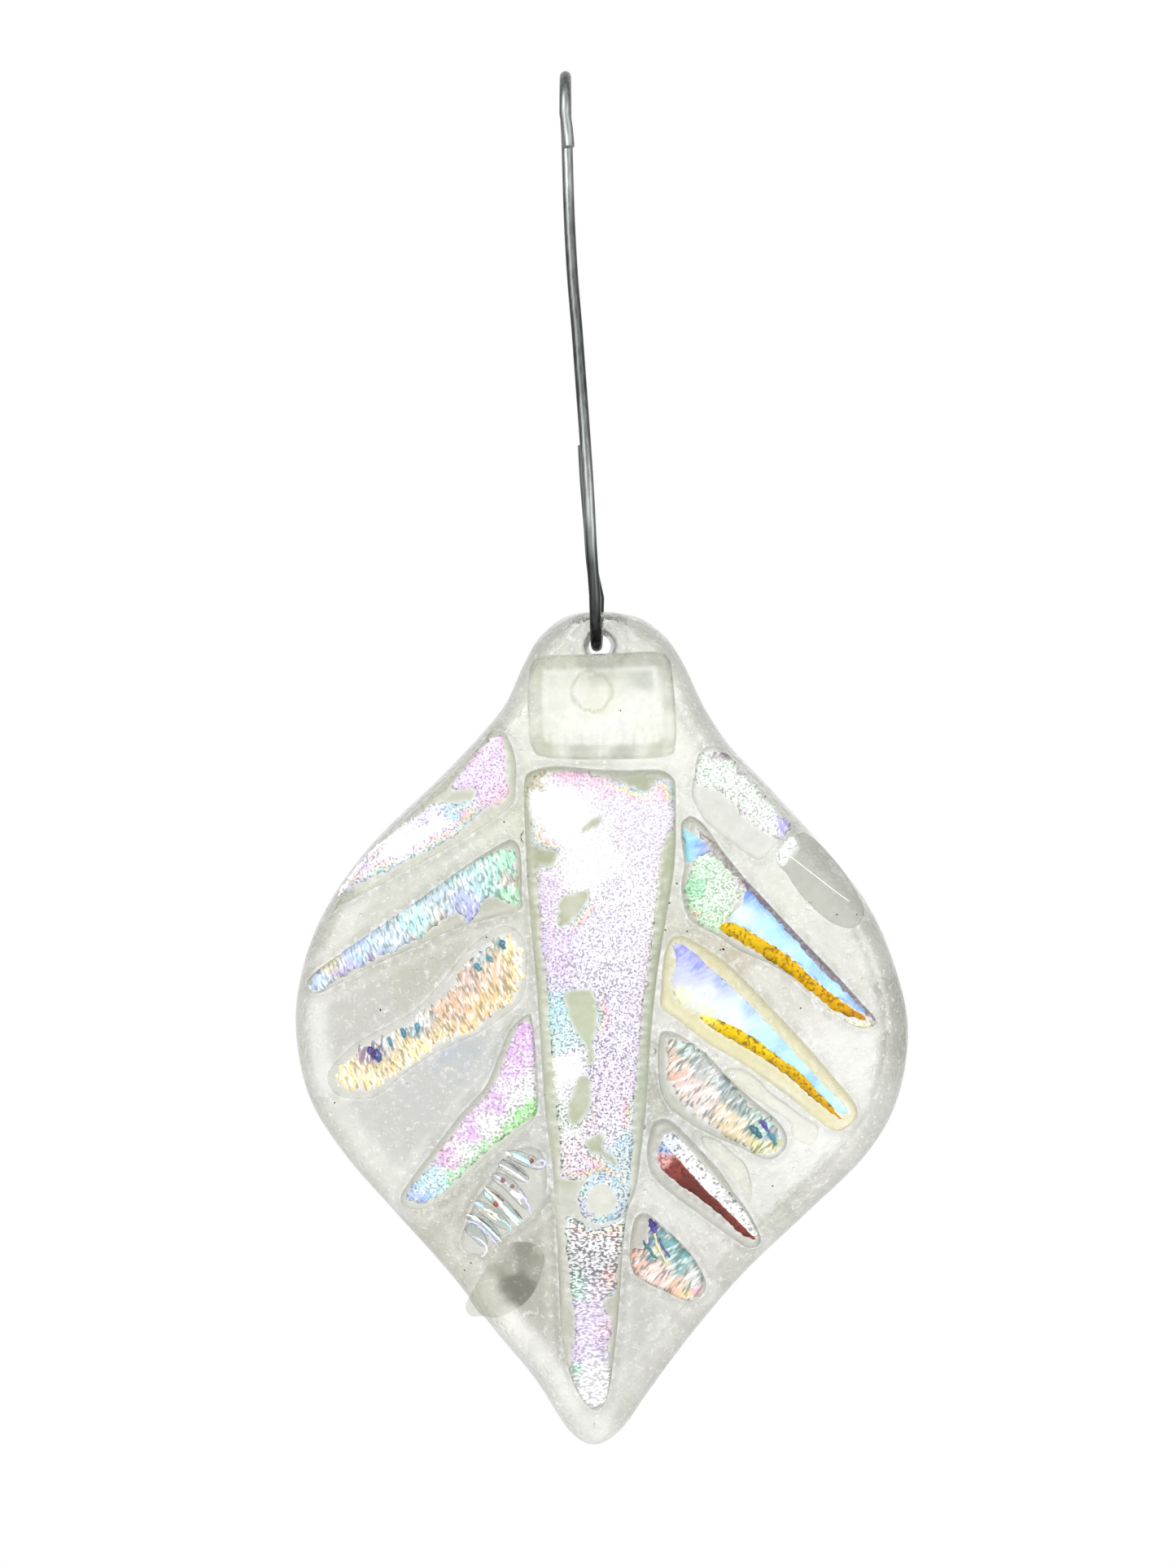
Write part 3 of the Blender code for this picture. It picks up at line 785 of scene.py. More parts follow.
def make_plate(material):
    outline = smooth_loop(PLATE_OUTLINE, 0.45)
    rim, hole = plate_rings(outline), hole_rings()
    points, faces = [], []

    def add_face(loops, y, spacing, waves):
        flat, triangles = triangles_in(loops, spacing)
        fade = np.clip(distance(flat, loops) / 2, 0, 1)
        first = len(points)
        points.extend((p[0], y + f * waves(*p), p[1]) for p, f in zip(flat, fade))
        faces.extend(tuple(first + i for i in f) for f in triangles)

    add_rings(points, faces, rim)
    add_rings(points, faces, hole)
    add_face([rim[0][0], hole[-1][0]], BACK, BACK_SPACING,
             lambda x, z: BACK_WAVES * ripple(x, z, 1.8, 5.0))
    add_face([rim[-1][0], hole[0][0]], FRONT, FRONT_SPACING,
             lambda x, z: FRONT_WAVES * ripple(x, z, 5.0, 2.0) + FRONT_SINK)
    made = mesh_object("glass_leaf_body", points, faces)
    paint(made, plate_tint)
    finish_piece(made, material, cad_node="glass_leaf")


# ---------------------------------------------------------------- the hook

def bend(centre_z, radius, x_ends, start, end, steps=28):
    """Points round a bend in the upright plane through the hole, from one angle to another."""
    points = []
    for s in range(steps + 1):
        t = s / steps
        a = math.radians(start + (end - start) * t)
        x = x_ends[0] + (x_ends[1] - x_ends[0]) * t
        points.append((x, radius * math.cos(a), centre_z + radius * math.sin(a)))
    return points


WIRE_STEPS = 10  # from each point of the wire's route to the next
TIP_STEPS = 6


def make_hook(material):
    """The wire: the crook's tip, the crook, the stem, the lower bend and the return leg."""
    crook = bend(CROOK_CENTRE_HEIGHT, CROOK_RADIUS, CROOK_X, 180, 0)
    lower = bend(LOWER_BEND_RADIUS, LOWER_BEND_RADIUS, BEND_X, 180, 360)
    tip = smooth_line(CROOK_TIP + crook[:1], TIP_STEPS)
    stem = smooth_line(crook[-1:] + STEM_ROUTE + lower[:1], WIRE_STEPS)
    leg = smooth_line(lower[-1:] + RETURN_LEG, WIRE_STEPS)
    route = tip[:-1] + crook[:-1] + stem[:-1] + lower[:-1] + leg
    made = rod("hook_wire", route, [WIRE_RADIUS] * len(route), 5)
    finish_piece(made, material, "hook", "wire_hook")


# ---------------------------------------------------------------- shards

TILE = [
    (-6.9, -3.2), (-6.5, -1.6), (-5.2, -1.0), (0.0, -0.83), (5.4, -0.6), (6.7, -1.35),
    (7.0, -3.0), (7.3, -6.5), (7.3, -9.4), (6.3, -10.7), (0.0, -11.0), (-5.2, -10.8),
    (-6.5, -9.9), (-6.9, -7.5),
]
# Clear glass of each shard: its CAD node, its slot, its tint where no film lies under it, how
# strong the painted shade line at its edge and the painted highlight line inside it are, its height
# and its shoulder's radius. One without a line sank in.
DOMES = {
    "lilac_shard_glass": ("left_shard_lilac", "lilac_film", "DDDFD0", 0.25, 1.7, 1.5),
    "teal_shard_glass": ("left_shard_teal", "teal_film", "D2D3C6", 0.25, 1.4, 1.8),
    "gold_shard_glass": ("left_shard_gold", "gold_film", "E6E6E0", 0.0, 0.9, 3.2),
    "green_shard_glass": ("left_shard_green", "green_film", "DCDED2", 0.25, 1.6, 1.4),
    "ribbed_shard_glass": ("left_shard_ribbed", "ribbed_film", "E0E1DA", 0.15, 1.3, 1.8),
    "frost_shard_glass": ("right_shard_frost", "frost_film", "EBECE6", 0.2, 1.4, 1.8),
    "clear_shard_glass": ("right_shard_clear", "shard_glass", "D0D1C9", 0.0, 1.2, 2.2),
    "sky_shard_glass": ("right_shard_sky", "sky_film", "CBCABE", 0.45, 1.75, 1.1),
    "yellow_shard_glass": ("right_shard_yellow", "yellow_film", "F0EAC0", 0.45, 1.75, 1.1),
    "rose_shard_glass": ("right_shard_rose", "rose_film", "D2D4CA", 0.25, 1.4, 1.8),
    "copper_shard_glass": ("right_shard_copper", "copper_film", "C9C9C0", 0.45, 1.75, 1.1),
    "oval_shard_glass": ("right_shard_oval", "oval_film", "D3D1CA", 0.3, 1.5, 1.4),
}

# The tile's tints, with painted light and shade: whitest across its middle, greyer along its top
# and bottom.
TILE_TINTS = [
    (-5.0, -1.6, "E8EAE0", 2.0), (0.0, -1.5, "E2E4DA", 2.0), (5.0, -1.5, "DEE0D8", 2.0),
    (-4.5, -2.8, "F4F5EE", 1.4), (0.0, -2.9, "E4E6DE", 1.4), (4.5, -3.2, "DCDFDA", 1.6),
    (-4.0, -5.0, "F8F9F5", 2.2), (0.0, -5.4, "FAFAF2", 2.0), (4.0, -5.8, "FFFFFE", 2.2),
    (-3.5, -7.8, "FFFFFC", 2.2), (1.0, -8.0, "FFFFFF", 2.2), (5.0, -7.8, "FFFFFC", 1.8),
    (-6.5, -5.5, "E2E4DC", 1.2), (6.8, -5.5, "E0E2DA", 1.0), (-5.5, -9.8, "E2E3DA", 1.2),
    (-2.0, -10.2, "D2D3CA", 1.2), (2.0, -10.3, "D0D1C8", 1.2), (5.6, -10.0, "DFE0D8", 1.2),
]
# The clear nugget's tints: painted shade in its grey, lens-like middle near (-8.2, -61.6) and
# painted highlights in the near-white spots.
NUGGET_LIGHT_AND_SHADE = [
    (-7.0, -58.5, "CFCFCA", 0.9), (-8.2, -61.6, "B2B2AE", 1.3), (-6.2, -60.2, "E4E4E2", 0.8),
    (-8.6, -59.7, "F0F0EE", 0.9), (-10.4, -60.6, "EAEAE4", 1.2), (-11.2, -62.8, "E2E3DA", 1.4),
    (-9.0, -64.2, "F0F0EA", 0.8), (-5.9, -58.0, "F8F8F4", 0.5), (-10.0, -58.8, "FFFFFC", 0.8),
]
SPIKE_MARGINS = [
    (-7.0, -16.0, "BEC3A8", 2.0), (-6.4, -28.0, "C0C5A6", 3.0), (-5.2, -45.0, "CDD2B8", 3.0),
    (6.9, -15.0, "BCC3AA", 2.0), (6.3, -22.0, "C0C8A6", 3.0), (5.0, -34.0, "BAC2A4", 3.0),
    (4.2, -45.0, "C8CEBA", 3.0), (-2.8, -25.2, "DEE0CC", 1.0), (-1.8, -36.5, "D4DCC2", 2.0),
    (-2.0, -43.6, "D8DCC8", 1.0), (-0.8, -17.4, "D2D6C0", 1.0), (0.3, -53.2, "F2F2E8", 1.2),
    (-3.2, -54.0, "E0E2D6", 1.0), (2.6, -54.0, "D8DACC", 1.0), (-3.4, -63.0, "DADACC", 2.0),
    (1.6, -66.0, "CFCFC2", 2.0), (0.0, -12.2, "CDCFC0", 1.2), (5.6, -12.4, "C6CAB6", 1.0),
]

# Painted lines in a dome's margin and in the tile: colour, strength, distance from its edge, width.
# A dome gets a dark painted shade line at its edge and a painted highlight line inside it; the tile
# a painted shade line and a painted highlight line along the frame of its pressed middle.
EDGE_SHADE_AND_HIGHLIGHT_LINES = [("8F9185", 1.0, 0.15, 0.16), ("FCFCF8", 1.0, 0.6, 0.16)]
TILE_SHADE_AND_HIGHLIGHT_LINES = [("C4C6BA", 0.5, 1.3, 0.16), ("FFFFFF", 0.8, 1.75, 0.25)]
MARK_CENTRE = (-0.8, -4.5)  # of the tile's mould mark
MARK_LINES = [("C4C8AE", 0.55, 1.9, 0.14)]  # its value is the mark's radius


def films_of(slot):
    return [loops for other, loops, _ in FILMS.values() if other == slot]


def margin_tint(loop, margins, films, line=0.5, warp=0.5):
    """A dome's tint: clear over its films, and tinted in its margin, with a painted shade line at
    its edge and a painted highlight line inside it.
    """
    shape = smooth_loop(loop, DOME_STEP)
    covers = [smooth_loop(p, 0.3) for group in films for p in group]

    def tint_at(flat):
        vary = np.array([0.75 + 0.9 * ripple(x, z, 4.0, 6.0) for x, z in flat])
        deep = distance(flat, [shape])
        tint = lined(blended(flat, margins, warp), EDGE_SHADE_AND_HIGHLIGHT_LINES, deep, line * vary)
        if covers:
            over = np.where(inside(flat, covers), 1, -1) * distance(flat, covers)
            tint = toward(tint, "FFFFFF", 0.6 + over / 0.3)
        return tint
    return tint_at


def tile_tint(flat):
    """The tile's tint, with a painted shade line and a painted highlight line along the frame of
    its pressed middle, greyer streaks along its bottom and a round mould mark.
    """
    tint = margin_tint(TILE, TILE_TINTS, [], 0.35, 0.25)(flat)
    tint = lined(tint, TILE_SHADE_AND_HIGHLIGHT_LINES, distance(flat, [smooth_loop(TILE, DOME_STEP)]))
    streaks = np.array([ripple(x, z / 9, 0.5, 2.0) for x, z in flat])
    low = np.clip((-7.8 - flat[:, 1]) / 1.5, 0, 1)
    tint = toward(tint, "CFD1C7", 0.8 * np.maximum(0, streaks) * low)
    mark = np.linalg.norm(flat - MARK_CENTRE, axis=1)
    return lined(tint, MARK_LINES, mark + 0.25 * streaks)


# Heights and shoulder radii of the other domes.
SPIKE_RISE = (2.1, 1.5)
TILE_RISE = (2.1, 2.0)
NUGGET_RISE = (1.5, 2.6)
PUDDLE_RISE = (0.55, 0.6)


def make_domes(glass):
    for name, (cad_node, slot, code, line, height, radius) in DOMES.items():
        outline = cad_outline(cad_node)
        tint_at = margin_tint(outline, [(0, 0, code, 1)], films_of(slot), line)
        dome(name, outline, height, radius, slot, glass, tint_at, cad_node, sunk=line == 0)
    spike, nugget = cad_outline("centre_spike"), cad_outline("clear_nugget")
    dome("centre_spike_glass", spike, *SPIKE_RISE, "spike_film", glass,
         margin_tint(spike, SPIKE_MARGINS, films_of("spike_film")), "centre_spike")
    dome("neck_tile_glass", TILE, *TILE_RISE, "tile_glass", glass,
         tile_tint, "neck_tile", spacing=0.25)
    dome("nugget_glass", nugget, *NUGGET_RISE, "nugget_glass", glass,
         margin_tint(nugget, NUGGET_LIGHT_AND_SHADE, [], 0.0), "clear_nugget", True)


# Irregular clear puddles of crushed glass on the plate.
PUDDLES = {
    "puddle_upper": [
        (11.9, -40.9), (13.4, -40.6), (15.0, -41.5), (16.4, -42.9), (17.8, -43.9), (19.2, -45.0),
        (21.0, -46.3), (20.4, -48.0), (18.6, -47.4), (18.2, -45.9), (16.4, -44.6), (14.6, -43.4),
        (13.0, -42.2),
    ],
    "puddle_lower": [
        (9.8, -47.2), (11.2, -47.4), (12.6, -48.6), (14.0, -49.9), (14.6, -52.0), (14.4, -53.7),
        (13.4, -52.0), (12.4, -50.6), (11.0, -49.2), (9.9, -48.2),
    ],
    "puddle_inner": [
        (4.9, -40.4), (5.5, -41.8), (5.9, -43.4), (6.5, -44.6), (5.8, -45.2), (4.7, -44.4),
        (4.4, -42.8), (4.5, -41.4),
    ],
    "puddle_bead": [(4.7, -38.0), (5.5, -38.2), (5.6, -39.1), (5.1, -39.6), (4.5, -39.2)],
}


def make_puddles(glass):
    for name, outline in PUDDLES.items():
        tint_at = margin_tint(outline, [(0, 0, "F8F8F2", 1)], [], 0.12)
        dome(name, outline, *PUDDLE_RISE, "clear_glass", glass, tint_at)


CRUMB_COUNT = 150
CRUMB_RADII = (0.12, 0.15, 0.2, 0.28)
CRUMB_PROFILE = ((1.0, 0.0), (0.92, 0.35), (0.6, 0.75))  # radius and height, over its radius
CRUMB_TOP = 0.9
CRUMB_LIFT = 0.06  # of its foot over the plate
CRUMB_SIDES = 8
# How far crumbs lie from a shard's edge, and at least from the rim and the hole's centre.
CRUMB_NEAREST = 0.35
CRUMB_FARTHEST = 2.2
CRUMB_RIM = 3.4
CRUMB_HOLE = 3.2


def make_crumbs(glass):
    """Tiny clear crumbs and bubbles that stand on the plate round the shards."""
    draw = random.Random(7)
    nodes = [d[0] for d in DOMES.values()] + ["centre_spike", "clear_nugget"]
    loops = [smooth_loop(TILE, COARSE_STEP)] + [cad_loop(name) for name in nodes]
    rim = [smooth_loop(PLATE_OUTLINE, 0.8)]
    low, high = np.array(PLATE_OUTLINE).min(0), np.array(PLATE_OUTLINE).max(0)
    tries = np.array([[draw.uniform(low[0], high[0]), draw.uniform(low[1], high[1])]
                      for _ in range(20 * CRUMB_COUNT)])
    away = distance(tries, loops)
    free = inside(tries, rim) & ~inside(tries, loops) & (distance(tries, rim) > CRUMB_RIM)
    free &= (away > CRUMB_NEAREST) & (away < CRUMB_FARTHEST)
    free &= np.linalg.norm(tries, axis=1) > CRUMB_HOLE
    points, faces = [], []
    foot = FRONT - CRUMB_LIFT
    for x, z in tries[free][:CRUMB_COUNT]:
        radius = draw.choice(CRUMB_RADII)
        faces.append(tuple(len(points) + i for i in range(CRUMB_SIDES)))
        add_rings(points, faces, [(circle(x, z, radius * ring, CRUMB_SIDES), foot - radius * rise)
                                  for ring, rise in CRUMB_PROFILE])
        top, last = len(points), len(points) - CRUMB_SIDES
        points.append((x, foot - radius * CRUMB_TOP, z))
        faces += [(last + i, last + (i + 1) % CRUMB_SIDES, top) for i in range(CRUMB_SIDES)]
    made = mesh_object("glass_crumbs", points, faces)
    paint(made, lambda flat: np.ones((len(flat), 3)))
    finish_piece(made, glass)


# The ribs of the ribbed shard: each from its upper left end to its lower right end.
RIBS = [
    ((-8.9, -48.7), (-7.2, -49.4), (-5.4, -50.1)),
    ((-9.7, -49.7), (-8.3, -50.4), (-6.9, -51.4)),
    ((-10.4, -50.9), (-8.7, -51.8), (-6.9, -54.1)),
    ((-11.1, -52.2), (-9.6, -53.5), (-7.8, -55.3)),
    ((-12.0, -53.5), (-10.4, -54.6), (-8.7, -56.0)),
    ((-12.7, -54.8), (-11.2, -55.5), (-9.6, -57.1)),
    ((-12.9, -55.9), (-12.0, -56.3), (-10.9, -57.7)),
]
RIB_DEPTH = 1.1  # in front of the plate
RIB_WIDTH = 0.62
STROKE_STEPS = 8  # from each point of a stroke's or rib's route to the next
STROKE_WOBBLE = 0.12


def stroke(name, code, radius, depth, route):
    """A single stroke of colour along a route, thinner towards its ends."""
    paint_name = f"stroke_{code}"
    paint_material = bpy.data.materials.get(paint_name) or plain_material(paint_name, code, 0.3)
    line = smooth_line([(x, FRONT - depth, z) for x, z in route], STROKE_STEPS)
    last = len(line) - 1
    taper = [0.35 + 0.65 * math.sin(math.pi * i / last) + 0.7 * ripple(p.x, p.z, 0.3)
             for i, p in enumerate(line)]
    line = [p + Vector((STROKE_WOBBLE * ripple(p.x, p.z, 0.35, 3.0), 0, 0)) for p in line]
    made = rod(name, line, [radius * max(0.2, t) for t in taper], 2)
    finish_piece(made, paint_material)


# Lines of colour on the ribs: colour, radius and route. The three pure white lines near the end are
# painted highlights along the ribs.
RIB_LINES = [
    ("F2EFD2", 0.22, [(-9.0, -48.65), (-8.75, -48.8), (-8.5, -48.95)]),
    ("9CD2F2", 0.23, [(-8.5, -48.7), (-7.9, -49.05), (-7.2, -49.45), (-6.7, -49.7)]),
    ("7A2E26", 0.27, [(-6.75, -49.4), (-6.4, -49.6)]),
    ("B4B8F6", 0.14, [(-6.9, -49.8), (-6.2, -50.0), (-5.6, -50.05), (-5.25, -49.8),
                      (-5.4, -49.45), (-5.8, -49.45), (-6.05, -49.65)]),
    ("6A6E6C", 0.11, [(-9.4, -49.3), (-8.4, -49.9), (-7.6, -50.5), (-7.0, -50.9)]),
    ("F6F8FA", 0.11, [(-9.6, -49.8), (-8.6, -50.35), (-7.7, -51.0), (-6.9, -51.5)]),
    ("B8B6EE", 0.14, [(-10.1, -50.8), (-9.3, -51.4), (-8.6, -52.0)]),
    ("7A3228", 0.24, [(-9.5, -51.15), (-9.1, -51.5)]),
    ("6A4038", 0.2, [(-8.55, -51.8), (-8.25, -52.05)]),
    ("E6E6FA", 0.24, [(-8.5, -52.3), (-8.0, -52.7), (-7.5, -53.1)]),
    ("BEB6EA", 0.14, [(-7.8, -52.3), (-7.3, -52.9), (-6.9, -53.7), (-6.6, -54.6)]),
    ("EEF2D8", 0.14, [(-11.1, -52.0), (-10.3, -52.7), (-9.5, -53.6), (-8.8, -54.6), (-7.9, -55.6)]),
    ("5E3A34", 0.1, [(-10.6, -52.3), (-9.8, -52.8), (-9.2, -53.3)]),
    ("A8E0EA", 0.16, [(-11.1, -52.4), (-10.7, -52.9), (-10.4, -53.3)]),
    ("86302A", 0.22, [(-10.2, -53.45), (-9.8, -53.8)]),
    ("9ED6D2", 0.11, [(-9.2, -53.7), (-8.6, -54.4), (-7.9, -55.0), (-7.4, -55.2)]),
    ("A6C8F8", 0.2, [(-12.0, -53.45), (-11.5, -53.7), (-11.0, -54.05)]),
    ("F0ECC4", 0.16, [(-11.0, -54.1), (-10.5, -54.3), (-10.0, -54.7), (-9.6, -55.1)]),
    ("DCE0D0", 0.11, [(-10.8, -54.4), (-10.4, -54.8), (-9.9, -55.15)]),
    ("5A4A40", 0.12, [(-10.5, -54.3), (-10.2, -54.65)]),
    ("98C4C8", 0.12, [(-9.7, -55.1), (-9.1, -55.3), (-8.7, -55.7), (-8.5, -56.2)]),
    ("FFFFFA", 0.19, [(-12.75, -54.6), (-12.0, -54.9), (-11.4, -55.3)]),
    ("C4E8EE", 0.14, [(-11.4, -55.25), (-10.6, -56.0), (-9.9, -56.7), (-9.4, -57.2)]),
    ("4E4A48", 0.09, [(-12.5, -54.5), (-11.4, -55.05), (-10.4, -55.95), (-9.6, -56.7)]),
    ("BDB6EE", 0.12, [(-12.7, -55.2), (-11.9, -55.5), (-11.1, -56.1), (-10.3, -56.9),
                      (-9.8, -57.6)]),
    ("CFC8F4", 0.09, [(-12.3, -56.7), (-11.7, -56.9), (-11.1, -57.4), (-10.85, -58.0),
                      (-11.1, -58.5), (-11.4, -58.6)]),
    # painted highlights: three white lines along the ribs
    ("FFFFFF", 0.1, [(-8.3, -48.95), (-7.6, -49.3), (-7.0, -49.65)]),
    ("FFFFFF", 0.1, [(-8.6, -52.45), (-7.9, -53.0), (-7.5, -53.6)]),
    ("FFFFFF", 0.09, [(-8.8, -54.6), (-8.2, -55.2), (-7.8, -55.6)]),
    ("D8F4F0", 0.1, [(-9.5, -53.4), (-8.9, -54.2), (-8.2, -54.9), (-7.6, -55.4)]),
    ("7C7F7C", 0.08, [(-9.0, -49.15), (-8.2, -49.75), (-7.4, -50.35)]),
    ("54463E", 0.08, [(-8.3, -53.95), (-7.8, -54.55), (-7.4, -55.0)]),
    ("8E9AA0", 0.08, [(-12.4, -55.35), (-11.4, -55.75), (-10.6, -56.45), (-10.0, -57.1)]),
]
RIB_LINE_DEPTH = 1.74
RIB_LINE_STEP = 0.008  # how far each line stands in front of the one before it


def make_ribs(glass):
    """Clear ribs across the ribbed shard, under thin lines of broken colour."""
    for k, route in enumerate(RIBS):
        line = smooth_line([(x, FRONT - RIB_DEPTH, z) for x, z in route], STROKE_STEPS)
        along = np.linspace(-1, 1, len(line))
        swell = RIB_WIDTH * np.sqrt(np.maximum(0.06, 1 - along ** 2))
        finish_piece(rod(f"rib_{k + 1}", line, swell, 2), glass)
    for k, (code, radius, route) in enumerate(RIB_LINES):
        depth = RIB_LINE_DEPTH + RIB_LINE_STEP * k
        stroke(f"rib_line_{k + 1}", code, radius, depth, route)


THREAD = [(17.6, -19.8), (18.8, -20.7), (20.6, -22.1), (22.4, -23.5), (23.9, -24.6)]
THREAD_DEPTH = 0.75
THREAD_RADIUS = 0.03
CLEAR_BUBBLES = [
    (20.1, -25.0, 0.5), (17.6, -22.6, 0.22), (-6.6, -49.4, 0.4), (5.0, -39.0, 0.4),
    (9.2, -38.1, 0.36), (10.1, -38.8, 0.36), (11.0, -39.6, 0.4), (11.9, -40.5, 0.38),
    (12.7, -41.3, 0.34),
]
DARK_SPECKS = [
    (-9.2, -17.0), (-10.9, -28.1), (24.7, -25.9), (22.8, -25.9), (6.7, -24.8), (11.6, -29.3),
    (8.4, -27.5), (-6.7, -20.7), (-6.6, -22.2), (-5.0, -43.2), (-12.4, -59.4), (2.0, -6.3),
    (16.6, -52.0), (6.3, -27.4), (-13.0, -60.1), (19.3, -34.9), (7.4, -22.9), (-25.5, -44.0),
]
SPECK_RADIUS = 0.09
SPECK_DEPTH = 0.1
BUBBLE_DEPTH = 0.3
BEAD_SIDES = 12
BEAD_HEIGHT = 0.6  # over its radius
BEAD_RINGS = [math.radians(lean) for lean in (60, 20, -20, -60)]


def make_beads(name, places, depth, material):
    """Small flattened beads at (x, z, radius), this far in front of the plate."""
    points, faces = [], []
    for x, z, radius in places:
        ends = (0, (len(BEAD_RINGS) - 1) * BEAD_SIDES)
        faces += [tuple(len(points) + end + i for i in range(BEAD_SIDES)) for end in ends]
        add_rings(points, faces, [
            (circle(x, z, radius * math.cos(lean), BEAD_SIDES),
             FRONT - depth - BEAD_HEIGHT * radius * math.sin(lean)) for lean in BEAD_RINGS
        ])
    made = mesh_object(name, points, faces)
    paint(made, lambda flat: np.ones((len(flat), 3)))
    finish_piece(made, material)


STROKE_DEPTH = 0.42  # in front of the plate
HAIR_DEPTH = 0.15  # of the dark hairs in the clear glass
# Single strokes of colour: slot, colour, radius and route.
STROKES = [
    ("oval_film", "41329C", 0.24, [(4.8, -55.2), (5.0, -55.9), (5.3, -56.5)]),
    ("oval_film", "EADFB4", 0.15, [(5.2, -56.5), (5.5, -57.6), (6.0, -58.6), (6.6, -59.7)]),
    ("oval_film", "2E7F8C", 0.16, [(4.2, -57.2), (4.7, -58.0), (5.4, -58.9)]),
    ("oval_film", "3D4F9C", 0.12, [(5.6, -57.0), (6.1, -58.0), (6.8, -58.9)]),
    ("rose_film", "1F6E82", 0.28, [(14.4, -46.2), (15.0, -46.7), (15.5, -47.3)]),
    ("rose_film", "4B3B9E", 0.24, [(15.3, -45.7), (15.8, -46.2), (16.1, -46.8)]),
    ("rose_film", "2A8296", 0.22, [(16.1, -46.9), (16.6, -47.4), (16.9, -48.0)]),
    ("gold_film", "3A2266", 0.34, [(-22.3, -38.6), (-21.9, -39.1), (-21.7, -39.8)]),
    ("gold_film", "1C3672", 0.3, [(-21.5, -38.8), (-21.3, -39.5), (-21.2, -40.1)]),
    ("gold_film", "2F6C86", 0.2, [(-20.3, -37.6), (-20.0, -38.6)]),
    ("gold_film", "2F6C86", 0.22, [(-19.0, -36.8), (-18.8, -37.7)]),
    ("gold_film", "3F7E92", 0.18, [(-17.6, -36.2), (-17.4, -37.2)]),
    ("gold_film", "2F7486", 0.22, [(-12.0, -30.6), (-11.5, -31.3)]),
    ("gold_film", "2F7486", 0.22, [(-10.9, -29.8), (-10.3, -30.5)]),
    ("gold_film", "2A6678", 0.25, [(-9.6, -28.3), (-9.1, -29.2)]),
    ("clear_glass", "3A342C", 0.05, [(-7.3, -17.8), (-7.6, -18.4), (-7.4, -19.0)]),
    ("clear_glass", "3A342C", 0.04, [(4.1, -45.6), (4.3, -46.3), (4.0, -46.9)]),
]


def make_strokes():
    for k, (slot, code, radius, route) in enumerate(STROKES):
        depth = HAIR_DEPTH if slot == "clear_glass" else STROKE_DEPTH
        stroke(f"stroke_{k + 1}", code, radius, depth, route)


def make_inclusions(glass):
    """A white thread, clear bubbles and dark specks caught in the glass."""
    pale = plain_material("thread_white", "F4F4F2", 0.4)
    line = smooth_line([(x, FRONT - THREAD_DEPTH, z) for x, z in THREAD], 6)
    thread = rod("white_thread", line, [THREAD_RADIUS] * len(line), 2)
    finish_piece(thread, pale)
    make_beads("clear_bubbles", CLEAR_BUBBLES, BUBBLE_DEPTH, glass)
    dark = plain_material("dark_inclusions", "2A2622", 0.6)
    specks = [(x, z, SPECK_RADIUS) for x, z in DARK_SPECKS]
    make_beads("dark_specks", specks, SPECK_DEPTH, dark)


# ---------------------------------------------------------------- films

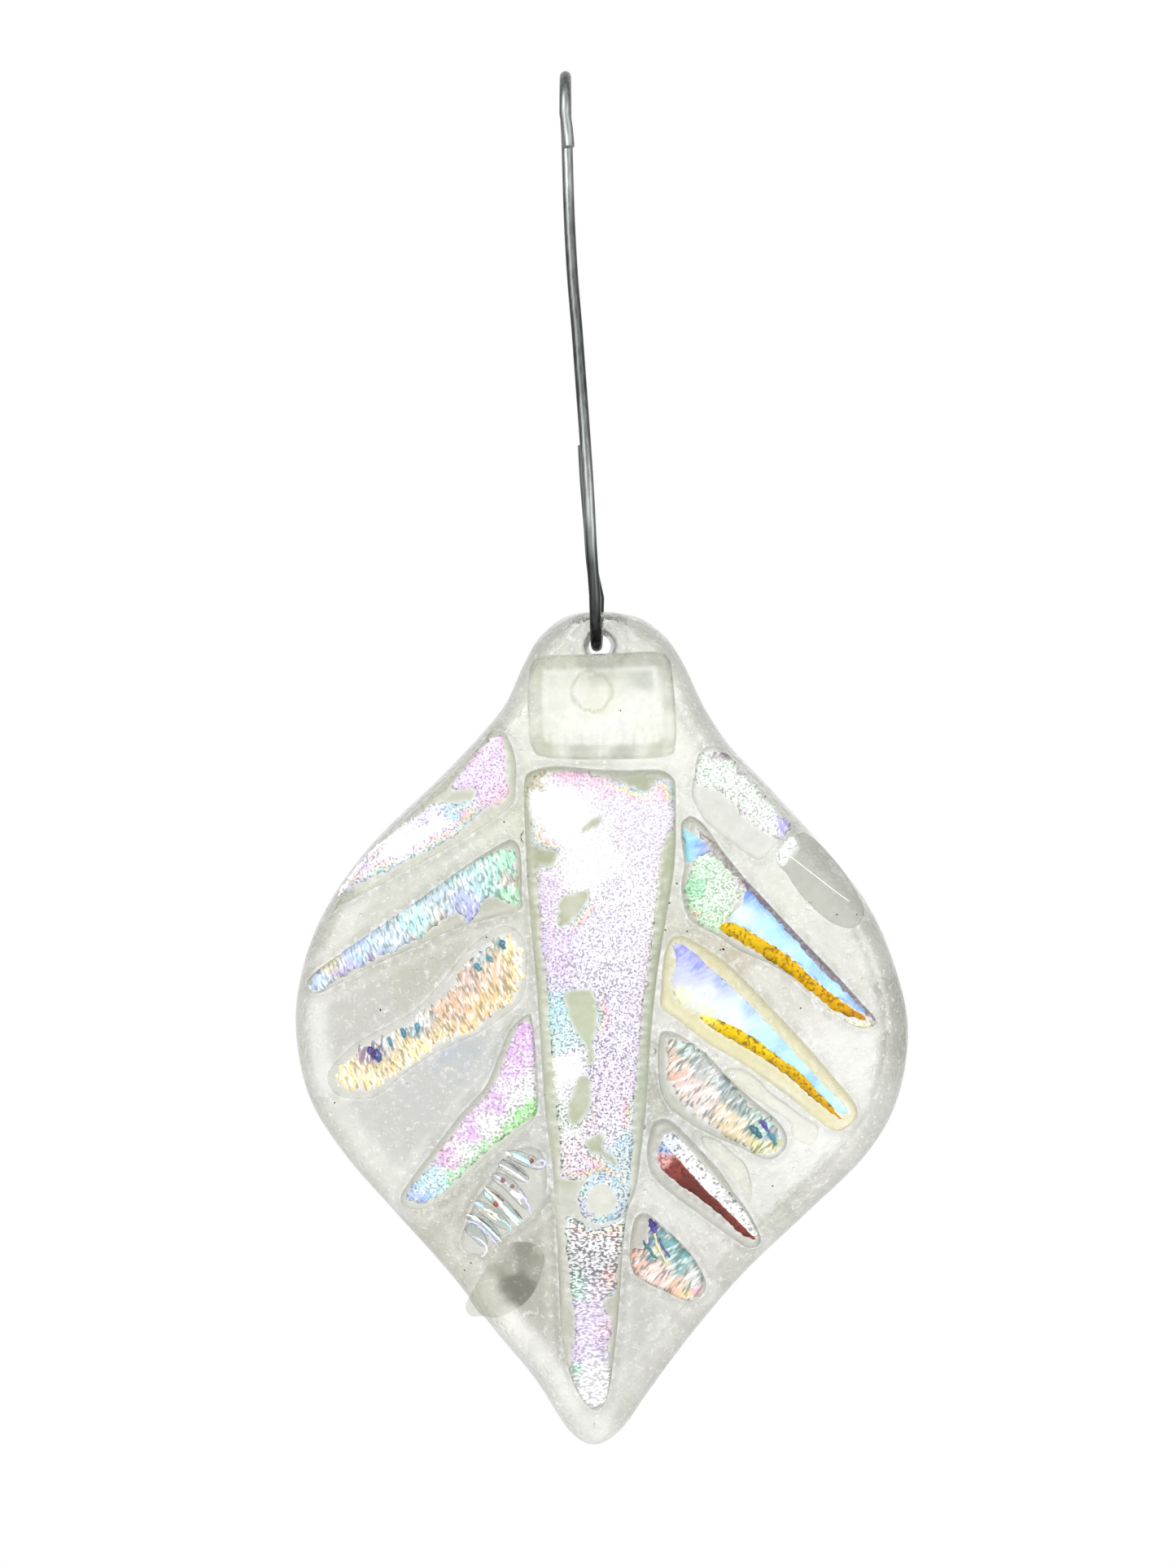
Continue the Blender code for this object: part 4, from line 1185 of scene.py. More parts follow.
# Each film: its slot, its loops (outline first, then holes) and its tints as (x, z, code, reach).
FILMS = {
    "spike_film_upper": ("spike_film", [
        [(-6.6, -13.2), (-3.2, -12.4), (0.0, -12.9), (2.5, -13.5), (4.4, -14.2), (5.2, -13.3),
         (6.3, -13.0), (6.7, -13.9), (6.9, -17.1), (6.0, -19.2), (5.4, -24.2), (4.7, -29.4),
         (4.0, -34.7), (3.6, -39.0), (3.05, -45.3), (2.9, -48.8), (2.4, -53.1), (1.5, -51.7),
         (0.2, -50.9), (-2.0, -51.4), (-3.6, -50.9), (-3.6, -48.8), (-4.0, -44.6), (-4.5, -39.0),
         (-4.9, -33.4), (-5.5, -27.7), (-5.8, -21.7), (-4.65, -21.3), (-4.1, -19.9),
         (-6.2, -19.2), (-6.2, -18.2)],
        [(-2.0, -18.2), (-1.1, -16.9), (0.1, -16.3), (0.2, -17.1), (-1.0, -17.8)],
        [(-3.9, -24.7), (-3.2, -24.0), (-1.1, -23.6), (-1.5, -25.2), (-3.1, -26.8),
         (-4.0, -27.0)],
        [(-3.4, -33.6), (-2.0, -33.1), (-0.75, -33.2), (-0.3, -34.8), (-0.3, -36.9),
         (-0.6, -38.3), (-0.5, -40.2), (-1.3, -40.2), (-1.3, -38.7), (-2.6, -36.6)],
        [(-1.7, -41.3), (-1.0, -41.7), (-0.8, -43.9), (-1.4, -45.2), (-2.7, -46.2),
         (-3.1, -44.6), (-2.3, -42.1)],
        [(-1.4, -47.6), (0.2, -47.0), (0.4, -48.3), (1.5, -49.3), (1.5, -50.2), (0.2, -49.1),
         (-1.0, -48.6)],
    ], [
        (-3.0, -12.8, "F4B6DE", 0.9), (0.5, -13.2, "F3C4E6", 0.8), (-5.8, -13.4, "B9AC8C", 0.5),
        (-4.0, -15.5, "FFFFFF", 1.6), (-1.0, -21.0, "FCFBFF", 2.0), (4.5, -18.0, "EBDDF7", 1.9),
        (2.0, -25.0, "F3E8FA", 2.0), (-5.0, -23.5, "E3CDF4", 1.0), (-4.6, -30.0, "DCC6F2", 1.4),
        (0.5, -30.0, "EFE2F9", 1.8), (2.6, -36.0, "E8D8F5", 1.8), (-3.9, -35.0, "A9E4F0", 0.9),
        (-3.4, -38.0, "C4ECEF", 0.8), (-3.3, -40.5, "FFFFFF", 1.0), (1.5, -42.5, "EADAF6", 1.5),
        (-3.4, -45.5, "EAF6EC", 0.8), (2.2, -47.8, "B0DFF0", 0.5), (-2.8, -49.2, "F7E2F2", 0.9),
        (2.2, -50.8, "C4E2F6", 0.45), (0.6, -46.0, "F1E6F8", 0.9),
    ]),
    "spike_film_ring": ("spike_film", [
        [(0.2, -51.0), (1.5, -51.5), (2.3, -52.9), (2.1, -54.3), (1.1, -55.2), (-0.2, -55.5),
         (-1.5, -54.9), (-2.0, -53.6), (-1.7, -52.1), (-0.9, -51.2)],
        [(0.2, -51.7), (1.0, -52.1), (1.6, -53.1), (1.4, -54.1), (0.7, -54.7), (-0.2, -54.9),
         (-1.0, -54.4), (-1.3, -53.5), (-1.1, -52.4), (-0.5, -51.8)],
    ], [
        (0.2, -51.3, "EDE2F6", 0.8), (1.9, -52.4, "D2EEF4", 0.7), (1.8, -54.4, "DCE0F8", 0.7),
        (0.0, -55.2, "D4EEF2", 0.7), (-1.7, -54.2, "E6D8F4", 0.7), (-1.5, -52.2, "D4F0E4", 0.7),
    ]),
    "spike_film_lower": ("spike_film", [
        [(-3.1, -55.0), (-2.2, -55.2), (-0.8, -56.0), (0.8, -55.8), (2.0, -55.0), (1.85, -57.0),
         (1.4, -59.6), (1.15, -62.2), (0.3, -62.9), (0.4, -63.9), (0.9, -65.2), (0.45, -67.5),
         (0.8, -70.1), (0.45, -72.4), (-0.4, -73.0), (-1.3, -72.6), (-2.4, -70.6), (-2.5, -68.3),
         (-2.2, -65.7), (-2.6, -62.2), (-2.9, -58.7)],
    ], [
        (-1.8, -56.4, "E6EAEA", 0.9), (0.8, -57.0, "F6F4F2", 0.8), (-0.6, -59.4, "D2D2D6", 1.0),
        (1.3, -60.8, "F2C8C0", 0.6), (-2.0, -61.4, "BFE6D4", 0.7), (-0.2, -62.0, "EADCF2", 0.7),
        (-1.4, -64.6, "DACDF0", 0.9), (0.4, -65.8, "F2C8E0", 0.6), (-1.0, -67.6, "DCCDF2", 1.0),
        (-2.2, -69.4, "BDEBD8", 0.6), (-0.6, -70.4, "F8F6F4", 0.9), (-0.5, -72.2, "FFFFFF", 0.7),
    ]),
    "lilac_film_sheet": ("lilac_film", [
        [(-10.0, -8.9), (-9.4, -9.6), (-9.2, -12.4), (-9.0, -14.5), (-11.2, -15.8), (-14.2, -18.3),
         (-19.2, -20.9), (-22.8, -22.7), (-25.2, -24.4), (-24.3, -22.5), (-21.2, -19.1),
         (-17.2, -16.3), (-15.6, -15.3), (-13.4, -15.2), (-12.2, -14.8), (-11.8, -13.9),
         (-12.9, -13.8), (-14.2, -13.8), (-12.6, -11.6)],
    ], [
        (-10.4, -11.0, "F2C9F1", 1.5), (-12.6, -13.0, "E9C6F2", 1.2), (-10.0, -14.2, "F6BFD6", 0.8),
        (-13.6, -15.8, "8CD6E2", 0.9), (-16.5, -18.0, "FFFFFF", 1.4), (-20.4, -20.5, "FFFFFF", 1.3),
        (-17.0, -16.6, "D8BFF0", 0.8), (-22.6, -20.9, "DCC8F2", 0.7), (-24.9, -24.1, "F6D496", 0.7),
        (-24.0, -22.9, "F4C2D6", 0.6), (-21.2, -22.0, "A4E6B8", 0.5), (-14.8, -18.4, "F6CBBE", 0.5),
        (-12.2, -16.7, "F9D0B4", 0.5), (-18.6, -20.5, "B0E4E8", 0.4),
    ]),
    "teal_film_sheet": ("teal_film", [
        [(-8.6, -19.7), (-8.2, -21.5), (-7.9, -24.8), (-9.4, -24.4), (-10.8, -24.1),
         (-12.2, -26.2), (-12.8, -26.6), (-13.8, -25.6), (-17.2, -27.9), (-19.2, -28.9),
         (-23.2, -30.9), (-27.0, -33.1), (-27.9, -32.5), (-25.2, -29.9), (-21.2, -27.1),
         (-16.2, -23.7), (-12.2, -21.1)],
    ], [
        (-9.2, -20.6, "9DEBC0", 1.0), (-9.0, -24.0, "A2F0B4", 0.7), (-8.6, -22.6, "B8A48E", 0.6),
        (-12.0, -22.4, "96CAD6", 1.1), (-10.8, -23.0, "8EDCD0", 0.8), (-13.2, -24.4, "A4AEEA", 0.9),
        (-12.7, -26.0, "9284F0", 0.8), (-15.8, -24.6, "A6C0CC", 1.0), (-15.4, -26.6, "D2BFA4", 0.8),
        (-17.6, -26.8, "A0E6E0", 0.8), (-18.0, -28.2, "D49AA8", 0.4), (-20.2, -28.2, "B2C8E8", 0.9),
        (-22.8, -29.6, "9CBEF4", 0.9), (-21.8, -30.1, "B684D8", 0.5), (-24.6, -31.4, "AE86DE", 0.6),
        (-25.8, -30.8, "D4C68A", 0.7), (-27.2, -32.6, "B4CCFA", 0.8), (-14.2, -22.8, "9ED2CC", 0.6),
    ]),
    "gold_film_sheet": ("gold_film", [
        [(-9.4, -27.9), (-11.2, -29.2), (-12.9, -30.9), (-14.5, -33.5), (-17.3, -35.7),
         (-20.1, -37.4), (-22.4, -38.5), (-24.2, -40.0), (-25.1, -41.1), (-24.8, -42.4),
         (-22.0, -42.6), (-20.1, -41.3), (-18.6, -40.6), (-15.5, -38.3), (-11.9, -36.9),
         (-10.5, -35.4), (-8.2, -33.9), (-7.5, -31.1), (-7.6, -29.4), (-8.6, -28.2)],
    ], [
        (-8.4, -29.6, "FAE0A0", 0.9), (-9.6, -28.7, "5F98A4", 0.5), (-11.4, -30.0, "4F8C9C", 0.6),
        (-10.0, -31.4, "F4D2B0", 0.9), (-8.8, -32.6, "F9DC9C", 0.8), (-12.6, -32.4, "E2C0B8", 0.8),
        (-11.4, -34.6, "FBD994", 0.9), (-14.2, -35.0, "F5C4A4", 0.9), (-14.6, -37.0, "FADC9E", 0.8),
        (-16.6, -36.2, "B0B4C0", 0.6), (-18.0, -37.0, "4C93AE", 0.5), (-18.2, -39.0, "FBE0A6", 0.9),
        (-20.2, -38.3, "C8CCD0", 0.5), (-21.4, -38.9, "1F3C7C", 0.85),
        (-22.5, -39.7, "50307E", 0.6), (-22.4, -41.4, "E6D29A", 1.0), (-24.2, -41.4, "F8D898", 0.8),
        (-20.4, -40.4, "FBDFA2", 0.7),
    ]),
    "green_film_sheet": ("green_film", [
        [(-6.95, -36.3), (-6.5, -37.6), (-6.4, -41.3), (-6.3, -44.6), (-8.0, -46.1),
         (-10.8, -48.4), (-13.6, -51.0), (-15.3, -52.5), (-17.1, -53.4), (-18.4, -53.2),
         (-17.5, -51.7), (-15.5, -49.1), (-12.7, -45.4), (-10.3, -42.8), (-9.0, -39.8),
         (-8.0, -37.2)],
    ], [
        (-7.2, -37.6, "DFA6EE", 0.9), (-8.2, -40.6, "E2B4F2", 0.9), (-7.0, -41.4, "F4EDF6", 0.8),
        (-10.2, -43.8, "DDA8EE", 0.9), (-8.6, -43.6, "F6F2F6", 0.9), (-12.6, -46.6, "DFACEC", 0.9),
        (-10.4, -46.2, "F1F1F0", 0.9), (-14.6, -49.2, "E3A8DA", 0.8), (-12.8, -48.6, "EDF3EA", 0.8),
        (-7.0, -45.2, "8DF070", 0.9), (-9.2, -47.1, "90EE7C", 1.0), (-11.6, -49.4, "96EC90", 0.9),
        (-13.8, -51.2, "A8F0AC", 0.7), (-15.8, -51.6, "B4EAF0", 0.9), (-17.6, -52.9, "92B8FA", 0.9),
    ]),
    "frost_film_sheet": ("frost_film", [
        [(9.6, -10.9), (10.6, -10.3), (12.4, -11.0), (14.8, -13.5), (17.0, -16.1), (18.3, -17.5),
         (17.6, -18.4), (16.4, -18.2), (14.6, -17.2), (13.0, -15.4), (11.4, -13.9), (9.4, -13.4)],
    ], [
        (10.4, -12.4, "EAF8EA", 1.1), (12.6, -13.8, "F2FAF0", 1.1), (14.8, -15.8, "ECF6EA", 1.1),
        (16.4, -17.4, "F4F2F8", 0.9), (11.4, -10.6, "8C6F84", 0.6), (13.6, -12.4, "A898A4", 0.5),
        (15.8, -14.9, "9C8C96", 0.5), (17.4, -17.2, "A89AF2", 0.7), (18.2, -17.5, "57444A", 0.5),
        (13.6, -16.2, "F2D6EA", 0.5), (9.6, -11.6, "9FA79A", 0.4),
    ]),
    "clear_shard_specks": ("shard_glass", [
        [(17.9, -18.7), (18.9, -18.6), (18.8, -19.6), (18.1, -20.6), (17.3, -21.1), (16.9, -20.4),
         (17.4, -19.6)],
    ], [
        (18.3, -19.2, "E6F2E2", 0.8), (17.4, -20.6, "E2E8DE", 0.8),
    ]),
    "sky_film_corner": ("sky_film", [
        [(8.15, -17.6), (9.0, -18.3), (10.7, -19.7), (9.6, -20.3), (8.6, -20.9), (8.4, -19.2)],
    ], [
        (7.8, -17.9, "A8ECFA", 0.8), (8.6, -18.9, "9AE0F8", 0.8), (9.6, -19.2, "6AA4FA", 0.6),
        (10.3, -19.8, "B094F4", 0.6), (8.7, -20.3, "9AEAF4", 0.5),
    ]),
    "sky_film_frost": ("sky_film", [
        [(9.4, -20.5), (11.0, -20.3), (12.4, -21.4), (14.2, -22.8), (13.7, -24.0), (12.2, -26.3),
         (11.6, -27.3), (9.9, -26.7), (8.8, -25.0), (8.6, -22.4)],
    ], [
        (10.6, -21.6, "C8EECC", 1.0), (9.2, -23.2, "9CE8B6", 0.8), (11.8, -23.6, "D8ECD4", 1.0),
        (10.4, -25.4, "CDECD0", 0.9), (13.3, -22.8, "DCD2DA", 0.6), (11.2, -26.6, "C2F2B8", 0.6),
        (9.3, -26.0, "DCA63E", 0.35),
    ]),
    "sky_film_blue": ("sky_film", [
        [(14.3, -23.6), (17.4, -26.9), (21.5, -31.3), (25.9, -35.5), (24.9, -35.3), (21.5, -32.8),
         (18.4, -30.0), (15.4, -28.0), (12.5, -26.5), (13.6, -25.0)],
    ], [
        (14.3, -24.0, "6C9CFA", 0.7), (15.4, -25.0, "86BEFF", 0.7), (17.6, -27.3, "8CC4FF", 0.7),
        (21.0, -30.9, "86BEFC", 0.7), (24.6, -34.5, "8AB4EE", 0.6), (14.0, -25.9, "E2F4FF", 0.8),
        (16.4, -27.6, "B0F0F8", 0.9), (19.4, -30.3, "B0EEFC", 0.8), (22.4, -33.1, "B4ECFC", 0.6),
        (15.6, -28.0, "F0FAF4", 0.5), (18.2, -29.8, "E6F8F4", 0.4),
    ]),
    "sky_film_edge": ("sky_film", [
        [(9.2, -17.7), (10.8, -19.2), (12.9, -21.5), (14.8, -23.6), (17.6, -26.6), (21.7, -31.0),
         (26.3, -35.6), (26.0, -36.0), (21.3, -31.4), (17.2, -27.0), (14.3, -23.9), (12.4, -21.9),
         (10.4, -19.7)],
    ], [
        (10.0, -18.6, "B9B4AE", 0.8), (12.6, -21.3, "B8B2B0", 0.8), (15.0, -24.0, "8A7C90", 1.0),
        (18.0, -27.2, "94889A", 1.0), (22.0, -31.4, "8C8092", 1.0), (25.6, -35.0, "9A8E98", 0.8),
    ]),
    "sky_film_cream": ("sky_film", [
        [(17.6, -31.1), (20.4, -33.4), (22.6, -35.1), (25.1, -36.1), (26.0, -36.0), (25.9, -36.5),
         (24.7, -36.5), (22.9, -35.7), (20.6, -34.0)],
    ], [
        (19.6, -33.0, "F2EBCE", 1.0), (22.6, -35.3, "F6F0DA", 1.0), (25.2, -36.3, "EDE2BE", 0.8),
    ]),
    "sky_film_gold": ("sky_film", [
        [(11.7, -27.3), (12.5, -26.6), (15.4, -28.1), (18.4, -30.1), (21.5, -32.9), (24.9, -35.4),
         (25.3, -36.0), (22.7, -34.9), (20.5, -33.1), (17.4, -30.7), (14.6, -29.0)],
    ], [
        (13.4, -27.8, "D4B000", 0.9), (16.6, -29.6, "CEA600", 0.9), (19.6, -31.8, "CEA200", 0.9),
        (22.6, -34.2, "CC9A00", 0.8), (24.6, -35.6, "BC8810", 0.6),
    ]),
    "yellow_film_blue": ("yellow_film", [
        [(7.2, -28.9), (8.4, -29.2), (10.4, -30.9), (13.9, -34.1), (17.4, -37.8), (20.9, -41.7),
         (23.7, -44.6), (22.9, -44.9), (20.9, -43.0), (19.2, -41.2), (16.7, -39.3),
         (13.9, -37.3), (10.5, -35.8), (8.6, -35.0), (7.4, -34.0), (7.0, -32.4), (7.4, -30.4)],
    ], [
        (7.8, -29.4, "9494F4", 0.8), (9.4, -30.6, "8E92EE", 0.9), (11.6, -32.4, "94AAF6", 0.8),
        (14.4, -35.0, "9CC0FF", 0.7), (17.4, -38.1, "98CCFF", 0.7), (20.6, -41.6, "94CCFC", 0.6),
        (8.2, -31.8, "C4C8F4", 0.8), (10.4, -33.4, "E8ECFA", 0.9), (13.0, -35.6, "ECF8FF", 0.9),
        (15.8, -37.8, "C2F4FA", 0.9), (18.6, -40.3, "B8F0FA", 0.8), (21.4, -43.0, "BCEEFA", 0.6),
        (8.0, -33.6, "F6F4C8", 0.8), (10.2, -35.0, "F6F6D0", 0.7), (13.2, -36.8, "FAFAE0", 0.4),
    ]),
    "yellow_film_gold": ("yellow_film", [
        [(9.6, -35.6), (10.5, -35.7), (13.9, -37.2), (16.7, -39.2), (19.2, -41.1), (20.9, -42.9),
         (22.7, -44.8), (23.0, -45.4), (20.1, -43.2), (18.0, -41.3), (14.8, -39.1), (12.2, -37.6),
         (10.4, -36.5)],
    ], [
        (10.2, -36.0, "EEDC66", 0.6), (12.6, -37.1, "DDBA00", 0.8), (15.2, -38.8, "DABA00", 0.8),
        (18.0, -40.7, "CEA600", 0.8), (20.6, -43.2, "C89C00", 0.8), (22.6, -45.0, "C69400", 0.6),
    ]),
    "rose_film_sheet": ("rose_film", [
        [(6.7, -38.2), (8.2, -38.2), (10.0, -39.5), (11.4, -41.2), (13.0, -43.0), (14.6, -44.6),
         (16.2, -45.6), (17.2, -46.8), (17.3, -48.2), (16.2, -48.9), (14.8, -48.5), (13.2, -47.4),
         (11.4, -46.4), (9.4, -45.2), (7.6, -43.4), (6.6, -41.4)],
    ], [
        (7.4, -40.9, "F9C2AC", 0.9), (8.4, -42.6, "FAD8D2", 0.8), (9.8, -44.4, "F8E2DE", 0.8),
        (8.4, -38.9, "5FA8A0", 0.6), (7.0, -39.0, "E0C0A8", 0.5), (9.8, -40.8, "C2C6C4", 0.8),
        (11.6, -42.6, "86A6B2", 0.7), (10.6, -43.0, "F6D8C4", 0.7), (12.0, -45.4, "F8D8A8", 0.8),
        (13.6, -44.6, "8AA8B0", 0.7), (13.8, -46.6, "FADCA8", 0.7), (15.3, -46.3, "A6DCCC", 0.9),
        (16.2, -46.8, "8A88CC", 0.5), (15.0, -47.8, "FBEA9C", 0.8), (16.6, -48.2, "F8F2A4", 0.8),
        (17.0, -47.2, "5FA8A0", 0.4),
    ]),
    "copper_film_silver": ("copper_film", [
        [(6.4, -47.0), (7.2, -47.3), (8.3, -48.3), (9.9, -50.2), (12.0, -52.5), (13.6, -54.5),
         (15.0, -56.9), (14.3, -56.8), (13.4, -56.0), (11.8, -54.4), (9.7, -52.4), (7.5, -50.0),
         (6.0, -48.2)],
    ], [
        (6.7, -47.6, "D8DCFA", 0.8), (8.4, -49.4, "FFFFFF", 1.0), (10.6, -51.8, "F4F4F6", 1.0),
        (13.2, -54.6, "FAFAFA", 1.0), (9.4, -49.7, "CFCFD2", 0.5), (12.2, -53.0, "D2D2D4", 0.5),
    ]),
    "copper_film_red": ("copper_film", [
        [(6.2, -48.0), (7.9, -49.7), (9.9, -52.0), (12.0, -54.0), (13.6, -55.7), (14.8, -57.1),
         (13.3, -56.3), (12.0, -55.0), (9.9, -53.3), (7.2, -51.4), (5.8, -49.9), (5.7, -48.6)],
    ], [
        (5.9, -48.3, "A6C8FA", 0.6), (6.1, -49.6, "F2B2AC", 0.7), (7.2, -50.2, "8A3A30", 0.8),
        (9.0, -51.9, "6E2A22", 1.0), (11.4, -54.0, "7A3028", 1.0), (13.8, -56.3, "82362C", 0.9),
    ]),
    "oval_film_sheet": ("oval_film", [
        [(3.3, -58.2), (4.4, -57.8), (5.0, -55.6), (5.9, -56.1), (7.9, -57.9), (9.2, -59.6),
         (9.8, -61.3), (9.3, -62.4), (8.4, -62.9), (7.2, -62.3), (4.8, -61.1), (3.6, -60.2),
         (3.1, -59.2)],
    ], [
        (5.2, -55.9, "4636A8", 0.5), (6.6, -57.4, "76ACAE", 0.9), (7.8, -59.0, "70AAAE", 1.0),
        (8.8, -60.6, "C4CCC4", 0.7), (4.6, -57.6, "3E4C8E", 0.4), (5.4, -58.2, "F4E0A4", 0.35),
        (6.2, -59.4, "F4E6B4", 0.35), (4.8, -58.8, "2F7C8A", 0.35), (3.9, -59.4, "F8C2B2", 0.8),
        (5.4, -60.4, "FAD0C8", 0.8), (7.0, -61.4, "FAC8B0", 0.8), (8.0, -62.2, "FBD89A", 0.6),
        (9.0, -61.8, "F0B8C8", 0.5),
    ]),
}

# Each film's coating, and what it has of its own: see film().
FILM_LOOKS = {
    "spike_film_upper": ("lilac_grain", {"wash": ("FFFFFF", 0.18)}),
    "spike_film_ring": ("lilac_grain", {}),
    "spike_film_lower": ("silver_grain", {"wash": ("FFFFFF", 0.1)}),
    "lilac_film_sheet": ("soft_grain", {"wash": ("FFFFFF", 0.22)}),
    "teal_film_sheet": (
        "teal_strokes", {"torn": (0.4, 0.3), "warp": 0.8, "wash": ("F4FAFC", 0.25)}),
    "gold_film_sheet": ("crinkled", {"torn": (0.9, 0.3), "wash": ("BDB49E", 0.32)}),
    "green_film_sheet": ("meadow", {"wash": ("FFFFFF", 0.12)}),
    "frost_film_sheet": ("frosty", {"torn": (0.7, 0.3)}),
    "clear_shard_specks": ("frosty", {"torn": (0.9, 0.4)}),
    "sky_film_corner": ("smooth", {"torn": (0.15, 0.3), "warp": 0.3, "sharpness": 2.6}),
    "sky_film_frost": ("frosty", {"torn": (0.6, 0.3), "warp": 0.6}),
    "sky_film_blue": ("smooth", {"torn": (0.1, 0.3), "warp": 0.2, "sharpness": 2.6}),
    "sky_film_edge": ("edging", {"lift": LAP}),
    "sky_film_cream": ("frosty", {}),
    "sky_film_gold": ("amber", {"torn": (0.16, 0.3), "warp": 0.3, "lift": LAP}),
    "yellow_film_blue": ("smooth", {"torn": (0.12, 0.3), "warp": 0.2, "sharpness": 2.6}),
    "yellow_film_gold": ("amber", {"torn": (0.16, 0.3), "warp": 0.3, "lift": LAP}),
    "rose_film_sheet": (
        "rose_strokes", {"torn": (0.6, 0.35), "warp": 0.8, "wash": ("BCC0BC", 0.34)}),
    "copper_film_silver": ("silver", {"torn": (0.08, 0.4), "warp": 0.4}),
    "copper_film_red": ("copper", {"torn": (0.12, 0.3), "warp": 0.3, "lift": LAP}),
    "oval_film_sheet": ("rose_strokes", {}),
}

# Each coating: the colour and amount of its dark grain, and what it has of its own.
COATINGS = {
    "lilac_grain": ("7A7688", 0.95, {
        "size": 4900, "painted_glints": 0.35, "bump": 0.06, "pale_grain": 0.35, "cover": 0.49,
        "thinning": ((-16, 0.6), (-40, 1.0))}),
    "soft_grain": ("8C80AC", 0.9, {"size": 4900, "bump": 0.06, "pale_grain": 0.1}),
    "silver_grain": ("5E5B66", 0.92, {
        "size": 4900, "painted_glints": 0.35, "bump": 0.12, "metallic": 0.6, "pale_grain": 1.0,
        "cover": 0.46, "stretch": (1.6, 1, 1), "thinning": ((-60, 1.0), (-64, 0.62))}),
    "amber": ("7E5600", 0.85, {
        "size": 3800, "painted_glints": 0.0, "metallic": 1.0, "roughness": 0.42, "bump": 0.05,
        "cover": 0.52}),
    "crinkled": ("857860", 0.75, {
        "size": 5000, "painted_glints": 0.45, "bump": 0.1, "stretch": (1, 1, 4.0), "turn": -28}),
    "teal_strokes": ("6C7C78", 0.75, {
        "painted_glints": 0.45, "bump": 0.07, "stretch": (1, 1, 3.0), "turn": -20}),
    "rose_strokes": ("66766F", 0.8, {
        "size": 4000, "painted_glints": 0.5, "bump": 0.1, "stretch": (1, 1, 4.5), "turn": 35}),
    "frosty": ("8A968A", 0.85, {
        "size": 4600, "painted_glints": 0.4, "bump": 0.08, "pale_grain": 0.7, "cover": 0.49}),
    "meadow": ("857F8C", 0.8, {"size": 4300, "painted_glints": 0.45, "bump": 0.07, "pale_grain": 0.7}),
    "smooth": ("BCCFEA", 0.5, {
        "painted_glints": 0.12, "roughness": 0.2, "bump": 0.01, "stretch": (1, 1, 3.5), "turn": 40}),
    "edging": ("6E6674", 0.6, {"painted_glints": 0.2, "metallic": 0.2}),
    "silver": ("74747C", 0.9, {
        "size": 3800, "roughness": 0.2, "metallic": 0.8, "bump": 0.07, "pale_grain": 0.9,
        "cover": 0.53}),
    "copper": ("4E1C16", 0.7, {
        "size": 3400, "painted_glints": 0.0, "roughness": 0.25, "metallic": 0.8, "bump": 0.05}),
}


def make_films():
    coatings = {
        name: coating(f"{name}_film", code, amount, **own)
        for name, (code, amount, own) in COATINGS.items()
    }
    for name, (slot, loops, spots) in FILMS.items():
        finish, own = FILM_LOOKS[name]
        film(name, loops, spots, coatings[finish], slot, **own)


# ---------------------------------------------------------------- studio

CAMERA_DISTANCE = 0.5
FRAME_HEIGHT = 151.7 * MM  # what the picture's height covers at the ornament
VIEW_CENTRE = (-1.14, -13.35)
SENSOR = 36.0


def make_camera():
    data = bpy.data.cameras.new("camera")
    data.sensor_width = SENSOR
    data.lens = SENSOR * CAMERA_DISTANCE / FRAME_HEIGHT
    made = add_object("camera", data)
    made.location = place(VIEW_CENTRE[0], -CAMERA_DISTANCE / MM, VIEW_CENTRE[1])
    made.rotation_euler = (math.radians(90), 0, 0)
    bpy.context.scene.camera = made


# The studio's brightness from the front, at 0, to the back, and from below, at 0, to above.
BRIGHTNESS_BACKWARDS = [
    (0.0, 1.6), (0.28, 1.35), (0.44, 0.52), (0.56, 0.40), (0.80, 0.62), (0.93, 0.86), (1.0, 1.0),
]
BRIGHTNESS_UPWARDS = [(0.0, 0.66), (0.5, 1.02), (0.85, 1.15), (1.0, 0.95)]


def make_world():
    """White where the camera looks past the ornament; a soft studio for light and glass."""
    world = bpy.data.worlds.new("studio")
    bpy.context.scene.world = world
    world.use_nodes = True
    tree = world.node_tree
    tree.nodes.clear()
    backwards, upwards = (
        ramp(tree, mapped(tree, coordinate(tree, axis, "Generated"), -1.0, 1.0), stops)
        for axis, stops in (("Y", BRIGHTNESS_BACKWARDS), ("Z", BRIGHTNESS_UPWARDS))
    )
    glow = mixed(tree, 1.0, backwards, upwards, "MULTIPLY")
    studio = node(tree, "ShaderNodeBackground", {"Color": glow})
    white = node(tree, "ShaderNodeBackground", {"Color": (1, 1, 1, 1)})
    seen = node(tree, "ShaderNodeLightPath").outputs["Is Camera Ray"]
    mix = node(tree, "ShaderNodeMixShader", {0: seen, 1: studio.outputs[0], 2: white.outputs[0]})
    node(tree, "ShaderNodeOutputWorld", {"Surface": mix.outputs[0]})


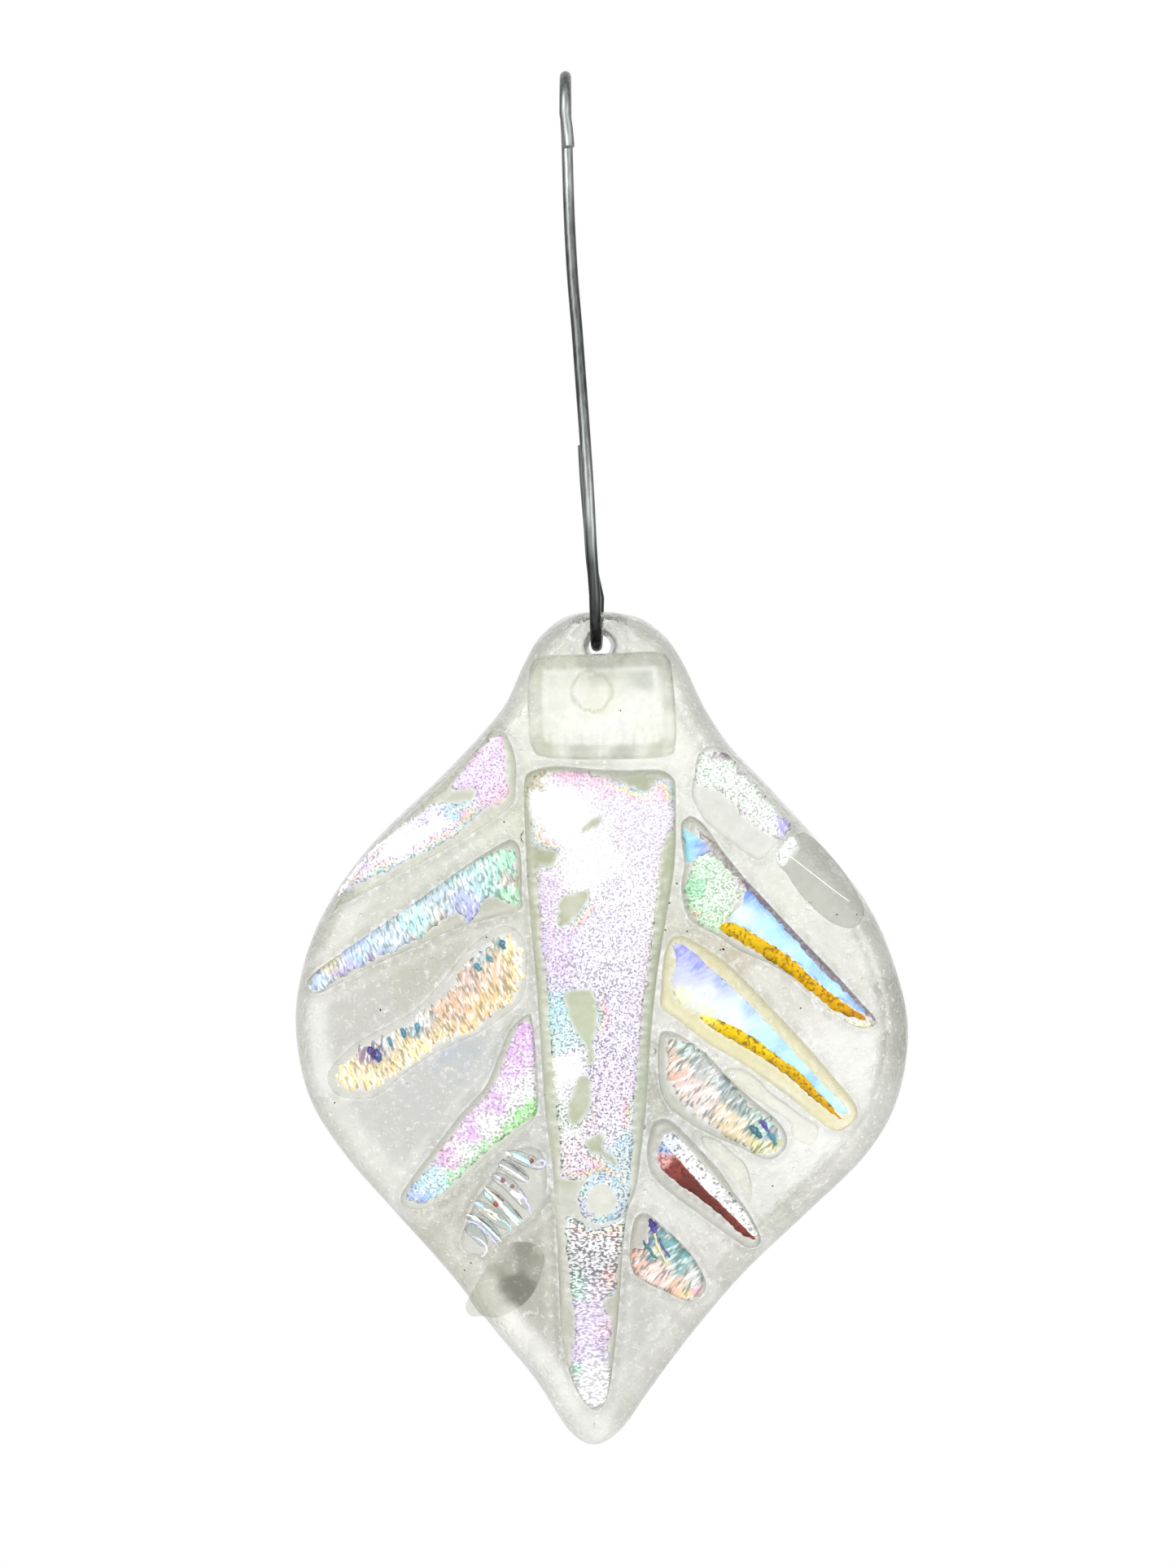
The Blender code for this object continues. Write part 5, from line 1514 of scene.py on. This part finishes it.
# Each light: its place from the hole's centre, its size in metres and its power.
LIGHTS = {
    "key_light": ((-280, -420, 330), 0.34, 1.8),
    "fill_light": ((380, -360, 60), 0.30, 1.0),
}
LIGHT_TARGET = (0, 0, -30)


def make_lights():
    for name, (where, size, power) in LIGHTS.items():
        data = bpy.data.lights.new(name, "AREA")
        data.size = size
        data.energy = power
        made = add_object(name, data)
        made.location = place(*where)
        aim = place(*LIGHT_TARGET) - made.location
        made.rotation_euler = aim.to_track_quat("-Z", "Y").to_euler()


FLOOR_DROP = 120.0  # below the ornament's tip
FLOOR_RADIUS = 0.5
FLOOR_FADE = (0.3, 0.95)  # where it starts and ends to fade, over its radius


def make_floor():
    """A pale round floor well below the hanging ornament, fading out at its edge."""
    shape = bmesh.new()
    bmesh.ops.create_circle(shape, cap_ends=True, segments=96, radius=FLOOR_RADIUS)
    mesh = bpy.data.meshes.new("studio_floor")
    shape.to_mesh(mesh)
    shape.free()
    made = add_object("studio_floor", mesh)
    made.location = (HOLE.x, HOLE.y, PLATE_LOW.z - FLOOR_DROP * MM)
    material, tree, shader = new_material("pale_floor")
    coordinates = node(tree, "ShaderNodeTexCoord").outputs["Object"]
    reach = node(tree, "ShaderNodeVectorMath", {0: coordinates}, operation="LENGTH")
    start, end = (FLOOR_RADIUS * share for share in FLOOR_FADE)
    fill(tree, shader, {
        "Base Color": (0.93, 0.93, 0.93, 1), "Roughness": 0.9,
        "Alpha": mapped(tree, reach.outputs["Value"], start, end, (1.0, 0.0)),
    })
    mesh.materials.append(material)


# ---------------------------------------------------------------- the scene

def main():
    bpy.context.scene.view_settings.view_transform = "Standard"
    make_camera()
    make_world()
    make_lights()
    make_floor()
    make_hook(steel())
    make_plate(clear_glass("leaf_glass", bump=0.24, grain=1300, mottle=0.16, roughness=0.06,
                           sparkle=0.8))
    shard_glass = clear_glass("shard_clear_glass", bump=0.02, grain=500, mottle=0.03, ior=1.3)
    make_domes(shard_glass)
    make_puddles(shard_glass)
    make_crumbs(shard_glass)
    make_ribs(rib_glass())
    make_inclusions(shard_glass)
    make_strokes()
    make_films()


main()
